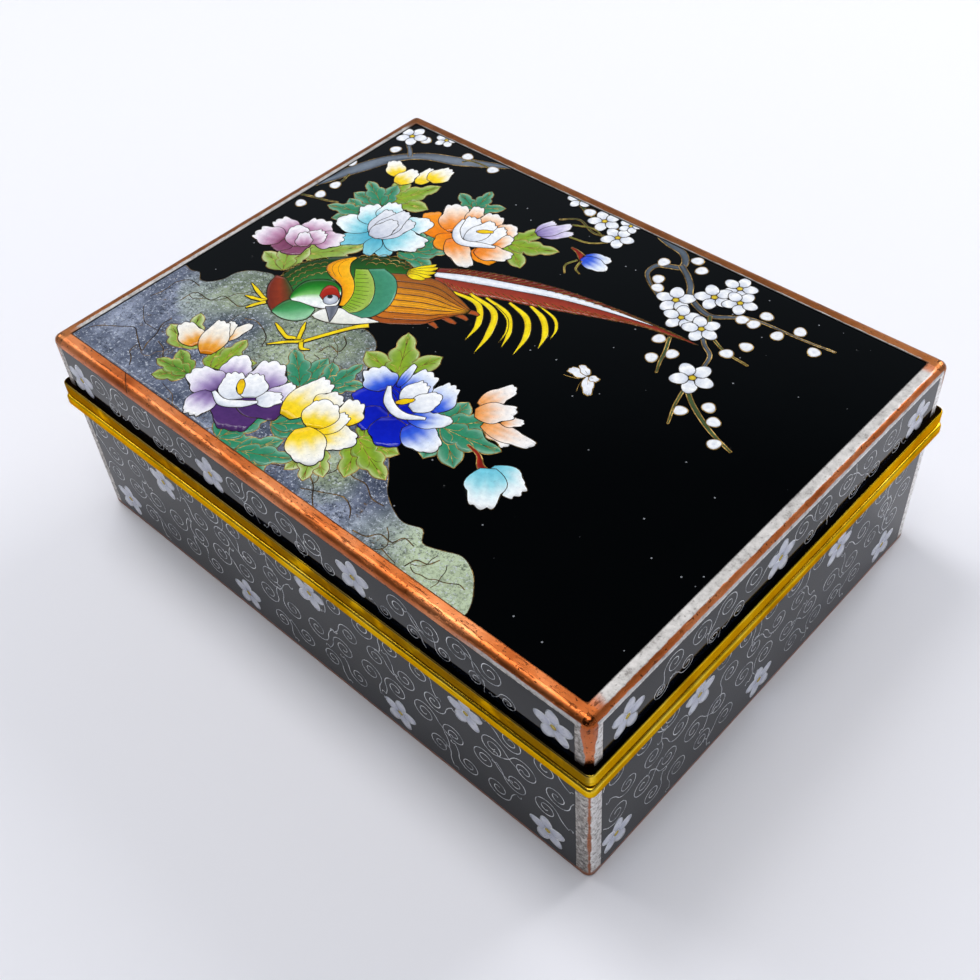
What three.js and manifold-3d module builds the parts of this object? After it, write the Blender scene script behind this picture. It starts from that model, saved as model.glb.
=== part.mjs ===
// A cloisonne enamel box. Two copper shells, the base and the lift-off lid, are each closed by a brass
// rim, and flat panels of enamel are let into their faces.
// Millimetres, +Z up. The origin is the centre of the underside, X along the long side.
import * as THREE from 'three';
import { mergeVertices } from 'three/addons/utils/BufferGeometryUtils.js';
import Module from 'manifold-3d';

// Overall sizes, measured over the copper walls
const boxLength = 127;
const boxWidth = 94.2;

// Heights of the four storeys, from the table up
const baseWallHeight = 27.3;
const baseRimHeight = 2.8;
const lidRimHeight = 2.7;
const lidWallHeight = 11.15;

// Walls: a sheet of copper, with enamel let into its outside and fused to its inside
const copperThickness = 1.2;
const enamelDepth = 0.6;
const liningDepth = 0.4;

// Copper left bare round the enamel
const cornerStrip = 2.75;
const topBorder = 2.76;
const plaqueDrop = 0.15;
const lidBandHeight = 1.75;
const footStrip = 0.8;
const undersideBorder = 3;
const undersideRise = 0.2;

// Rounded edges
const wallCornerRadius = 1.5;
const lidEdgeRadius = 1.35;
const footEdgeRadius = 0.3;
const plaqueCornerRadius = 0.5;
const rimCornerRadius = 1.3;
const smallestRadius = 0.3;

// Brass rims: how far each stands out of the wall, and how round its edges are
const baseRimReach = 1.25;
const baseRimEdgeRadius = 0.55;
const baseRimStepHeight = 0.5;
const baseRimStepReach = 0.75;
const lidRimReach = 0.95;
const lidRimEdgeRadius = 0.3;

// The lip that stands on the base rim and holds the lid in place
const lipThickness = 0.8;
const lipRise = 3.2;

// Clearances
const enamelGap = 0.05;
const solderGap = 0.05;
const lidSlip = 0.2;
const cutPast = 1;

// Roundness of the mesh
const cornerSegments = 4;
const edgeSegments = 8;

// Worked out from the sizes above
const partingHeight = baseWallHeight + baseRimHeight;
const shellThickness = copperThickness + enamelDepth;
const wallThickness = shellThickness + liningDepth;
const lipOutside = wallThickness + lidSlip;
const lipInside = lipOutside + lipThickness;
const lidHeight = lidRimHeight + lidWallHeight;

// The floor of the base, and in the lid's frame the plaque's top and the ceiling under it
const baseFloor = enamelDepth + copperThickness;
const plaqueTop = lidHeight - plaqueDrop;
const lidCeiling = plaqueTop - enamelDepth - copperThickness;

const wasm = await Module();
wasm.setup();

// A closed three.js geometry as a solid that can be cut and joined
function solidOf(geometry) {
  const bare = new THREE.BufferGeometry();
  bare.setAttribute('position', geometry.attributes.position);
  if (geometry.index) bare.setIndex(geometry.index);
  const merged = mergeVertices(bare, 1e-4);
  return new wasm.Manifold(
    new wasm.Mesh({
      numProp: 3,
      vertProperties: merged.attributes.position.array,
      triVerts: new Uint32Array(merged.index.array),
    }),
  );
}

// The cut solid as a three.js geometry, with flat faces
function geometryOf(solid) {
  const made = solid.getMesh();
  const indexed = new THREE.BufferGeometry();
  indexed.setAttribute('position', new THREE.BufferAttribute(made.vertProperties, 3));
  indexed.setIndex(new THREE.BufferAttribute(made.triVerts, 1));
  const flat = indexed.toNonIndexed();
  flat.computeVertexNormals();
  return flat;
}

function roundedRectangle(halfX, halfY, radius) {
  const shape = new THREE.Shape();
  shape.absarc(halfX - radius, halfY - radius, radius, 0, Math.PI / 2);
  shape.absarc(-halfX + radius, halfY - radius, radius, Math.PI / 2, Math.PI);
  shape.absarc(-halfX + radius, -halfY + radius, radius, Math.PI, 1.5 * Math.PI);
  shape.absarc(halfX - radius, -halfY + radius, radius, 1.5 * Math.PI, 2 * Math.PI);
  shape.closePath();
  return shape;
}

// The plan of the walls, moved outwards by reach, or inwards where reach is negative
function wallPlan(reach) {
  const radius = Math.max(wallCornerRadius + reach, smallestRadius);
  return roundedRectangle(boxLength / 2 + reach, boxWidth / 2 + reach, radius);
}

// The plan of a rim's outside, whose upright corners are tighter than the walls'
function rimPlan(reach) {
  return roundedRectangle(boxLength / 2 + reach, boxWidth / 2 + reach, rimCornerRadius);
}

function prism(plan, bottom, top) {
  const geometry = new THREE.ExtrudeGeometry(plan, {
    depth: top - bottom,
    bevelEnabled: false,
    curveSegments: cornerSegments,
  });
  return solidOf(geometry.translate(0, 0, bottom));
}

// A prism whose two ends have quarter-round edges
function roundedPrism(plan, bottom, top, edgeRadius) {
  const geometry = new THREE.ExtrudeGeometry(plan, {
    depth: top - bottom - 2 * edgeRadius,
    bevelThickness: edgeRadius,
    bevelSize: edgeRadius,
    bevelOffset: -edgeRadius,
    bevelSegments: edgeSegments,
    curveSegments: cornerSegments,
  });
  return solidOf(geometry.translate(0, 0, bottom + edgeRadius));
}

function block(x, y, z) {
  const geometry = new THREE.BoxGeometry(x[1] - x[0], y[1] - y[0], z[1] - z[0]);
  geometry.translate((x[0] + x[1]) / 2, (y[0] + y[1]) / 2, (z[0] + z[1]) / 2);
  return solidOf(geometry);
}

// The four sides, each with the axis that it runs along and the side of the origin that it is on
const sides = [
  { name: 'front', along: 'x', sign: -1 },
  { name: 'right', along: 'y', sign: 1 },
  { name: 'back', along: 'x', sign: 1 },
  { name: 'left', along: 'y', sign: -1 },
];

// A flat block in a side wall, between the corner strips: depth reaches in from the wall's face,
// proud reaches out of it, and trim draws its two ends in
function sideBlock(side, bottom, top, depth, proud, trim) {
  const runs = side.along === 'x' ? boxLength : boxWidth;
  const face = side.along === 'x' ? boxWidth / 2 : boxLength / 2;
  const half = runs / 2 - cornerStrip - trim;
  const span = [-half, half];
  const through = side.sign > 0 ? [face - depth, face + proud] : [-face - proud, -face + depth];
  return side.along === 'x'
    ? block(span, through, [bottom, top])
    : block(through, span, [bottom, top]);
}

function sideRecesses(bottom, top) {
  return sides.map((side) => sideBlock(side, bottom, top, enamelDepth, cutPast, 0));
}

function cutAll(solid, cutters) {
  return cutters.reduce((left, cutter) => left.subtract(cutter), solid);
}

// Materials, one for each mesh
function copper() {
  return new THREE.MeshStandardMaterial({ color: 0xb8672f, roughness: 0.35, metalness: 1 });
}

function brass() {
  return new THREE.MeshStandardMaterial({ color: 0xc79a1c, roughness: 0.25, metalness: 1 });
}

function blackEnamel() {
  return new THREE.MeshStandardMaterial({ color: 0x101317, roughness: 0.12, metalness: 0 });
}

function piece(name, solid, material) {
  const mesh = new THREE.Mesh(geometryOf(solid), material);
  mesh.name = name;
  return mesh;
}

// Base: a copper tray with a recess in each side and one in the underside
function baseShell() {
  const outside = roundedPrism(wallPlan(0), 0, baseWallHeight + footEdgeRadius, footEdgeRadius);
  const above = prism(wallPlan(cutPast), baseWallHeight, baseWallHeight + cutPast);
  const inside = prism(wallPlan(-shellThickness), baseFloor, baseWallHeight + cutPast);
  const underside = prism(wallPlan(-undersideBorder), -cutPast, enamelDepth);
  const recesses = sideRecesses(footStrip, baseWallHeight + cutPast);
  return cutAll(outside, [above, inside, underside, ...recesses]);
}

function baseSidePanel(side) {
  return sideBlock(side, footStrip + enamelGap, baseWallHeight, enamelDepth - enamelGap, 0, enamelGap);
}

function baseUnderside() {
  return prism(wallPlan(-undersideBorder - enamelGap), undersideRise, enamelDepth - enamelGap);
}

function baseLining() {
  const outside = prism(wallPlan(-shellThickness - enamelGap), baseFloor + enamelGap, baseWallHeight);
  const inside = prism(wallPlan(-wallThickness), baseFloor + liningDepth, baseWallHeight + cutPast);
  return outside.subtract(inside);
}

// Base rim: a rounded bead under a narrower step, with the lip standing on its inner edge
function baseRim() {
  const bottom = baseWallHeight + solderGap;
  const beadTop = partingHeight - baseRimStepHeight;
  const bead = roundedPrism(rimPlan(baseRimReach), bottom, beadTop, baseRimEdgeRadius);
  const step = prism(rimPlan(baseRimStepReach), bottom + baseRimEdgeRadius, partingHeight);
  const lip = prism(wallPlan(-lipOutside), bottom, partingHeight + lipRise);
  const inside = prism(wallPlan(-lipInside), bottom - cutPast, partingHeight + lipRise + cutPast);
  return bead.add(step).add(lip).subtract(inside);
}

// Lid, in its own frame: its lowest face is at zero
function lidRim() {
  const outside = roundedPrism(rimPlan(lidRimReach), 0, lidRimHeight, lidRimEdgeRadius);
  const inside = prism(wallPlan(-wallThickness), -cutPast, lidRimHeight + cutPast);
  return outside.subtract(inside);
}

function lidShell() {
  const bottom = lidRimHeight + solderGap;
  const outside = roundedPrism(wallPlan(0), bottom - lidEdgeRadius, lidHeight, lidEdgeRadius);
  const below = prism(wallPlan(cutPast), bottom - lidEdgeRadius - cutPast, bottom);
  const inside = prism(wallPlan(-shellThickness), bottom - cutPast, lidCeiling);
  const plaque = prism(plaquePlan(0), plaqueTop - enamelDepth, lidHeight + cutPast);
  const recesses = sideRecesses(bottom - cutPast, lidHeight - lidBandHeight);
  return cutAll(outside, [below, inside, plaque, ...recesses]);
}

function lidSidePanel(side) {
  const bottom = lidRimHeight + solderGap;
  const top = lidHeight - lidBandHeight - enamelGap;
  return sideBlock(side, bottom, top, enamelDepth - enamelGap, 0, enamelGap);
}

function plaquePlan(trim) {
  const halfX = boxLength / 2 - topBorder - trim;
  const halfY = boxWidth / 2 - topBorder - trim;
  return roundedRectangle(halfX, halfY, plaqueCornerRadius);
}

function lidTopPanel() {
  return prism(plaquePlan(enamelGap), plaqueTop - enamelDepth + enamelGap, plaqueTop);
}

function lidLining() {
  const bottom = lidRimHeight + solderGap;
  const outside = prism(wallPlan(-shellThickness - enamelGap), bottom, lidCeiling - enamelGap);
  const inside = prism(wallPlan(-wallThickness), bottom - cutPast, lidCeiling - liningDepth);
  return outside.subtract(inside);
}

const base = new THREE.Group();
base.add(piece('base_shell', baseShell(), copper()));
for (const side of sides) base.add(piece('base_enamel_' + side.name, baseSidePanel(side), blackEnamel()));
base.add(piece('base_enamel_underside', baseUnderside(), blackEnamel()));
base.add(piece('base_enamel_lining', baseLining(), blackEnamel()));
base.add(piece('base_rim', baseRim(), brass()));

const lid = new THREE.Group();
lid.position.z = partingHeight;
lid.add(piece('lid_rim', lidRim(), brass()));
lid.add(piece('lid_shell', lidShell(), copper()));
for (const side of sides) lid.add(piece('lid_enamel_' + side.name, lidSidePanel(side), blackEnamel()));
lid.add(piece('lid_enamel_top', lidTopPanel(), blackEnamel()));
lid.add(piece('lid_enamel_lining', lidLining(), blackEnamel()));

const box = new THREE.Group();
box.add(base, lid);

export default box;
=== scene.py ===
import math

import bpy
import numpy as np
from mathutils import Matrix, Vector


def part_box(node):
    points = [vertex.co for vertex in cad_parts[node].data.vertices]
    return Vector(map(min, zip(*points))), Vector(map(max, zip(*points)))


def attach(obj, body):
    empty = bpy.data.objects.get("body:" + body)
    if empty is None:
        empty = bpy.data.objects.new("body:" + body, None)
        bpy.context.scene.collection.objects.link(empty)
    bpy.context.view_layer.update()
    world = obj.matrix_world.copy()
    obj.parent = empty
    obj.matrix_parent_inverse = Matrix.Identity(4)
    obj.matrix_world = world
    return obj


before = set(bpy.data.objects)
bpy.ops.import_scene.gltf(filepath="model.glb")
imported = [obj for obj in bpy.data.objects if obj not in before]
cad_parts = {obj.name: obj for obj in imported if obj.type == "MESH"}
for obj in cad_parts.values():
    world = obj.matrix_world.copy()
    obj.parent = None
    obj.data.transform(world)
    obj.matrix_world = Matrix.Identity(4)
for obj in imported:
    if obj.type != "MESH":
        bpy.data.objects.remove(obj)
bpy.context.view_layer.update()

# %% [markdown]
# # A cloisonne enamel box
# The box is two copper shells, a base and a lid, each closed by a brass rim. Its faces are black enamel,
# with thin wires bent into scrolls, blossoms and a picture of a long-tailed bird among flowers.
# The CAD frame already holds the metal and the plain black panels at their true size. This script gives
# them their finish, and lays the wires and the coloured enamels on them as real, very thin pieces.
#
# Sizes are written in millimetres, and Blender works in metres, so every mesh is scaled by MM at the end.

# %% Units, colours and nodes
MM = 0.001


def linear(hex_colour):
    """An sRGB hex colour as linear red, green, blue and alpha: each channel c becomes
    c / 12.92 below 0.04045, and ((c + 0.055) / 1.055) to the power 2.4 above it."""
    c = np.array([int(hex_colour[i:i + 2], 16) for i in (1, 3, 5)]) / 255
    low = c / 12.92
    high = ((c + 0.055) / 1.055) ** 2.4
    return (*np.where(c <= 0.04045, low, high).tolist(), 1.0)


def node(tree, kind, inputs=None, **settings):
    """Adds a node. Settings are its properties, and inputs maps a socket's name or number to a value
    or to another node's output socket."""
    made = tree.nodes.new(kind)
    for name, value in settings.items():
        setattr(made, name, value)
    for key, value in (inputs or {}).items():
        if isinstance(value, bpy.types.NodeSocket):
            tree.links.new(value, made.inputs[key])
        else:
            made.inputs[key].default_value = value
    return made


def new_material(name, **surface):
    """A material with one Principled shader, whose plain sockets are set from surface."""
    material = bpy.data.materials.new(name)
    material.use_nodes = True
    shader = material.node_tree.nodes["Principled BSDF"]
    for socket, value in surface.items():
        shader.inputs[socket.replace("_", " ")].default_value = value
    return material, material.node_tree, shader


def ramp(tree, factor, *stops):
    """A colour ramp from (position, hex colour) stops."""
    made = node(tree, "ShaderNodeValToRGB", {"Fac": factor})
    elements = made.color_ramp.elements
    while len(elements) < len(stops):
        elements.new(0.5)
    for element, (position, colour) in zip(elements, stops):
        element.position = position
        element.color = linear(colour)
    return made.outputs["Color"]


def mix(tree, factor, a, b, blend="MIX"):
    """A colour between a, at factor 0, and b, at factor 1."""
    made = node(tree, "ShaderNodeMix", data_type="RGBA", blend_type=blend)
    for socket, value in ((0, factor), (6, a), (7, b)):
        if isinstance(value, bpy.types.NodeSocket):
            tree.links.new(value, made.inputs[socket])
        else:
            made.inputs[socket].default_value = value
    return made.outputs[2]


def number(tree, operation, a, b=0.0, clamp=False):
    """One Math node."""
    made = node(tree, "ShaderNodeMath", {0: a, 1: b}, operation=operation, use_clamp=clamp)
    return made.outputs[0]


def plus(tree, a, b):
    """a + b."""
    return number(tree, "ADD", a, b)


def minus(tree, a, b, clamp=False):
    """a - b, kept within 0 and 1 if clamp is set."""
    return number(tree, "SUBTRACT", a, b, clamp)


def times(tree, a, b, clamp=False):
    """a * b, kept within 0 and 1 if clamp is set."""
    return number(tree, "MULTIPLY", a, b, clamp)


def most(tree, a, b):
    """The greater of a and b."""
    return number(tree, "MAXIMUM", a, b)


def per_mm(spacing_mm):
    """The texture scale in object coordinates, which are metres, for a pattern of that spacing."""
    return 1 / (spacing_mm * MM)

# %% [markdown]
# ## The camera
# A photograph fixes its own camera: the box's corners, at their known places, fall on known pixels only
# from one point, in one direction and with one focal length. Those were solved once from its corners
# and upright edges, and are written here as a real place, two directions and a lens.

# %% Camera
camera_place_mm = np.array([122.07, -117.93, 189.85])
camera_right = np.array([0.73284, 0.67811, -0.05584])
camera_up = np.array([-0.47013, 0.56399, 0.67889])
lens_mm = 46.90
sensor_mm = 36.0

camera_back = np.cross(camera_right, camera_up)
camera_data = bpy.data.cameras.new("photo_camera")
camera_data.lens = lens_mm
camera_data.sensor_width = sensor_mm
camera_data.clip_start = 0.01
camera_data.clip_end = 20
camera = bpy.data.objects.new("photo_camera", camera_data)
turn = np.eye(4)
turn[:3, 0], turn[:3, 1], turn[:3, 2] = camera_right, camera_up, camera_back
turn[:3, 3] = camera_place_mm * MM
camera.matrix_world = Matrix(turn.tolist())
bpy.context.scene.collection.objects.link(camera)
bpy.context.scene.camera = camera
print("camera looks down by", round(math.degrees(math.asin(camera_back[2])), 1), "degrees")

# %% [markdown]
# ## Table and light
# The box stands on a white table in a bright room. The glossy enamel shows what it faces: its sides
# mirror the white table and so look grey, while the top mirrors the darker far part of the room. So the
# world is a dim grey, and the light comes from broad lamps that the top doesn't mirror into the camera.

# %% Table
def link_object(name, data):
    """Puts new data into the scene under a name."""
    made = bpy.data.objects.new(name, data)
    bpy.context.scene.collection.objects.link(made)
    return made


table_half_m = 3.0
table_mesh = bpy.data.meshes.new("table")
table_mesh.from_pydata(
    [(-table_half_m, -table_half_m, 0), (table_half_m, -table_half_m, 0),
     (table_half_m, table_half_m, 0), (-table_half_m, table_half_m, 0)],
    [], [(0, 1, 2, 3)])
table = link_object("table", table_mesh)
table_material, tree, shader = new_material("white_table", Roughness=0.6)
shader.inputs["Base Color"].default_value = linear("#eeeef5")
table_mesh.materials.append(table_material)

# %% Lights
def area_light(name, place, target, size, watts):
    """A white rectangular lamp at place that faces target, both in metres."""
    data = bpy.data.lights.new(name, "AREA")
    data.shape = "RECTANGLE"
    data.size, data.size_y = size
    data.energy = watts
    lamp = link_object(name, data)
    direction = np.array(target, float) - np.array(place, float)
    lamp.rotation_euler = Vector(direction.tolist()).to_track_quat("-Z", "Y").to_euler()
    lamp.location = place


box_middle = (0, 0, 0.02)
table_middle = (0, 0, 0)
area_light("window_left", (-0.574, -0.07, 0.69), box_middle, (0.4, 0.4), 1.9)
area_light("window_high", (-0.286, 0.09, 0.79), box_middle, (0.2, 0.2), 1.5)
area_light("window_behind", (0.10, 0.73, 0.54), box_middle, (0.4, 0.4), 2.9)
area_light("ceiling_lamp", (0.1, -0.1, 2.6), table_middle, (1.4, 1.4), 24)
area_light("room_lamp", (0.5, -2.0, 2.3), table_middle, (1.8, 1.4), 3)

# the near side of the room, behind the camera, is darker
screen_mesh = bpy.data.meshes.new("dark_room_side")
screen_mesh.from_pydata([(-0.45, -0.55, 0.0), (0.50, -0.38, 0.0), (0.50, -0.38, 0.5), (-0.45, -0.55, 0.5)],
                        [], [(0, 1, 2, 3)])
screen = link_object("dark_room_side", screen_mesh)
screen_material, tree, shader = new_material("dark_cloth", Roughness=0.9)
shader.inputs["Base Color"].default_value = linear("#15161a")
screen_mesh.materials.append(screen_material)

world = bpy.data.worlds.new("room")
bpy.context.scene.world = world
world.use_nodes = True
sky = world.node_tree
direction = node(sky, "ShaderNodeTexCoord").outputs["Generated"]
upward = node(sky, "ShaderNodeSeparateXYZ", {"Vector": direction}).outputs[2]
room = ramp(sky, upward, (0.0, "#c4c9d2"), (0.42, "#b0b6c0"),
            (0.60, "#8c96a0"), (0.72, "#363c42"), (0.85, "#0a0b0c"))
sky.links.new(room, sky.nodes["Background"].inputs["Color"])
sky.nodes["Background"].inputs["Strength"].default_value = 1.0
bpy.context.scene.view_settings.view_transform = "Standard"
bpy.context.scene.view_settings.look = "None"

# %% [markdown]
# ## Metals
# The shells are copper that was plated with silver. Polishing has worn the plating off every convex
# edge, and off the whole front of the lid, so the bare copper shows there. Where a patch is worn is a
# matter of place on the box, so the shader works it out from Object coordinates, with noise to fray it.

# %% Copper with worn silver plating
half_length_mm = 63.5
half_width_mm = 47.1


def grain(tree, coordinates, spacing_mm, detail=3.0, rough=0.6, stretch=(1, 1, 1)):
    """Noise with blobs about spacing_mm across, stretched along an axis where its number is below 1."""
    mapped = node(tree, "ShaderNodeMapping", {"Vector": coordinates, "Scale": stretch})
    made = node(tree, "ShaderNodeTexNoise", {
        "Vector": mapped.outputs[0], "Scale": per_mm(spacing_mm), "Detail": detail, "Roughness": rough})
    return made.outputs["Fac"]


def smoothstep(tree, value, low, high):
    """0 below low, 1 above high and an S curve between."""
    made = node(tree, "ShaderNodeMapRange", {"Value": value, "From Min": low, "From Max": high},
                interpolation_type="SMOOTHSTEP", clamp=True)
    return made.outputs["Result"]


def bump(tree, height, distance_mm):
    """A bump whose full height is distance_mm."""
    made = node(tree, "ShaderNodeBump", {"Height": height, "Distance": distance_mm * MM, "Strength": 1.0})
    return made.outputs["Normal"]


def object_place(tree):
    """The object coordinates, in metres."""
    return node(tree, "ShaderNodeTexCoord").outputs["Object"]


def xyz_of(tree, coordinates):
    """The three numbers of a place."""
    split = node(tree, "ShaderNodeSeparateXYZ", {"Vector": coordinates})
    return split.outputs[0], split.outputs[1], split.outputs[2]


def worn_copper():
    """Polished copper under silver plating: hammered-soft highlights, pits and tarnish. Heights and
    distances from the walls are in millimetres, x and y in metres."""
    material, tree, shader = new_material("worn_silver_on_copper", Metallic=1.0)
    coordinates = object_place(tree)
    x, y, z = xyz_of(tree, coordinates)
    # how far the point is inside the two pairs of wall planes
    inside_x = times(tree, minus(tree, half_length_mm * MM, number(tree, "ABSOLUTE", x)), 1 / MM)
    inside_y = times(tree, minus(tree, half_width_mm * MM, number(tree, "ABSOLUTE", y)), 1 / MM)
    edge_in = number(tree, "MINIMUM", inside_x, inside_y)
    corner_in = most(tree, inside_x, inside_y)
    height = times(tree, z, 1 / MM)
    fray = times(tree, minus(tree, grain(tree, coordinates, 2.2, 4), 0.5), 1.8)

    # the flat of the top border keeps its silver, with a frayed edge towards the round corner; on the
    # two far edges the silver is worn back to a narrow line beside the plaque
    on_top = smoothstep(tree, height, 43.6, 43.75)
    back_edge = smoothstep(tree, y, 0.0440, 0.0443)
    far_edge = most(tree, back_edge, smoothstep(tree, x, -0.0604, -0.0607))
    worn_width = plus(tree, times(tree, far_edge, 0.95), times(tree, back_edge, 0.65))
    worn_back = minus(tree, plus(tree, edge_in, times(tree, fray, 0.30)), worn_width)
    silver_top = times(tree, on_top, smoothstep(tree, worn_back, 0.80, 0.98))
    # on the lid's wall a bright line of silver is left between the round corner and the enamel
    low_line = minus(tree, height, times(tree, fray, 0.25))
    line = times(tree, smoothstep(tree, low_line, 43.22, 43.05), smoothstep(tree, height, 32.0, 33.0))
    # the upright corner strips keep it except on the corner itself, where the bare part widens upwards
    widening = plus(tree, times(tree, smoothstep(tree, height, 36.0, 42.5), 0.75),
                    times(tree, smoothstep(tree, height, 30.0, 33.0), 0.45))
    strip_in = minus(tree, plus(tree, corner_in, times(tree, fray, 0.45)), widening)
    strip = smoothstep(tree, strip_in, 0.50, 0.72)
    silver = most(tree, silver_top, times(tree, line, strip))
    silver = most(tree, silver, times(tree, strip, smoothstep(tree, height, 42.6, 42.3)))
    # the whole front border of the lid is worn through, and so are the corners of the top and the foot
    front = smoothstep(tree, y, -0.0439, -0.0442)
    front_line = times(tree, front, most(tree, smoothstep(tree, height, 43.1, 43.3),
                                         smoothstep(tree, x, 0.046, 0.036)))
    front_line = times(tree, front_line, smoothstep(tree, height, 42.0, 42.2))
    near = smoothstep(tree, plus(tree, corner_in, times(tree, fray, 1.2)), 5.5, 3.5)
    near = times(tree, near, times(tree, smoothstep(tree, height, 43.2, 43.5), 0.9))
    foot = times(tree, smoothstep(tree, plus(tree, height, fray), 1.5, 0.9), 0.9)
    worn = most(tree, most(tree, front_line, near), foot)
    silver = times(tree, silver, minus(tree, 1.0, worn), clamp=True)

    # bare copper: warm and cool patches, tarnished here and there, browner on the far edges and the base
    warmth = grain(tree, coordinates, 5.0, 4, 0.65, (0.4, 0.4, 1))
    copper = ramp(tree, warmth, (0.3, "#9c4c20"), (0.5, "#c26a36"), (0.7, "#dc8a58"))
    tarnish = smoothstep(tree, grain(tree, coordinates, 1.3, 5, 0.7), 0.60, 0.72)
    copper = mix(tree, times(tree, tarnish, 0.55), copper, linear("#6f3413"))
    copper = mix(tree, times(tree, far_edge, 0.55), copper, linear("#7a5228"))
    on_base = smoothstep(tree, height, 31.0, 29.0)
    copper = mix(tree, times(tree, on_base, 0.55), copper, linear("#6a4630"))
    # plating: bright on the top; on the upright corner strips a mottled grey in two copies, a darker
    # painted-shade copy on the faces of the long sides and a lighter painted-lit copy, with painted
    # highlights, on the faces of the short sides
    plating = ramp(tree, grain(tree, coordinates, 1.6, 5, 0.7),
                   (0.30, "#8f8b88"), (0.44, "#b9b6b4"), (0.62, "#cdcac8"))
    mottle = grain(tree, coordinates, 0.7, 5, 0.8)
    strip_plating_painted_shade_and_light = ramp(tree, mottle, (0.38, "#5c5752"), (0.52, "#aaa49e"), (0.66, "#e4e0da"))
    strip_plating_painted_lit_copy = ramp(tree, mottle, (0.36, "#8a847e"), (0.48, "#e4e0dc"), (0.66, "#ffffff"))
    # painted light: faces of the short sides take the lighter lit copy, faces of the long sides the darker
    # shaded copy
    strip_plating_painted_shade_and_light = mix(tree, smoothstep(tree, inside_x, 0.5, 0.3), strip_plating_painted_shade_and_light, strip_plating_painted_lit_copy)
    upright = times(tree, strip, smoothstep(tree, height, 42.9, 42.2))
    plating = mix(tree, upright, plating, strip_plating_painted_shade_and_light)
    colour = mix(tree, silver, copper, plating)
    # dark pits, and dark scratches that run along the edge
    pits = smoothstep(tree, grain(tree, coordinates, 0.5, 2, 0.5), 0.63, 0.70)
    pit_share = minus(tree, 0.75, times(tree, silver, 0.45))
    colour = mix(tree, times(tree, pits, pit_share), colour, linear("#3a2414"))
    streak_x = smoothstep(tree, grain(tree, coordinates, 0.5, 4, 0.75, (0.12, 1, 1)), 0.56, 0.68)
    streak_y = smoothstep(tree, grain(tree, coordinates, 0.5, 4, 0.75, (1, 0.12, 1)), 0.56, 0.68)
    on_front = smoothstep(tree, inside_y, 3.2, 2.9)
    bare_lid = times(tree, smoothstep(tree, height, 41.0, 42.0), minus(tree, 1.0, silver, clamp=True))
    streaks = times(tree, mix(tree, on_front, streak_y, streak_x), bare_lid)
    colour = mix(tree, times(tree, streaks, 0.6), colour, linear("#5a2a10"))
    # the joint with the plaque is dark with old polish
    joint = times(tree, smoothstep(tree, edge_in, 2.55, 2.7), on_top)
    colour = mix(tree, times(tree, joint, 0.7), colour, linear("#1c130c"))
    # a slanting nick across the front border
    slant = plus(tree, x, times(tree, y, 1.4))
    nick_place = number(tree, "ABSOLUTE", minus(tree, slant, -0.1062))
    nick = times(tree, smoothstep(tree, nick_place, 0.00028, 0.00012),
                 times(tree, front_line, smoothstep(tree, height, 43.0, 43.3)))
    colour = mix(tree, times(tree, nick, 0.8), colour, linear("#4a2008"))
    tree.links.new(colour, shader.inputs["Base Color"])

    # the silver is rubbed dull and catches the light from any side; the bare copper keeps its gloss
    scratch = grain(tree, coordinates, 0.5, 4, 0.7, (0.08, 0.08, 1))
    flat_top = smoothstep(tree, height, 43.75, 43.93)
    dull_top = times(tree, flat_top, plus(tree, 0.03, times(tree, silver, 0.38)))
    dull_share = most(tree, dull_top, times(tree, strip, 0.2))
    roughness = plus(tree, dull_share, plus(tree, 0.08, times(tree, scratch, 0.20)))
    tree.links.new(roughness, shader.inputs["Roughness"])
    raised = plus(tree, times(tree, scratch, 0.3), times(tree, grain(tree, coordinates, 3.5, 2), 0.8))
    sunk = plus(tree, times(tree, pits, 0.7), plus(tree, streaks, times(tree, nick, 2.5)))
    tree.links.new(bump(tree, minus(tree, raised, sunk), 0.06), shader.inputs["Normal"])
    return material


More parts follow.
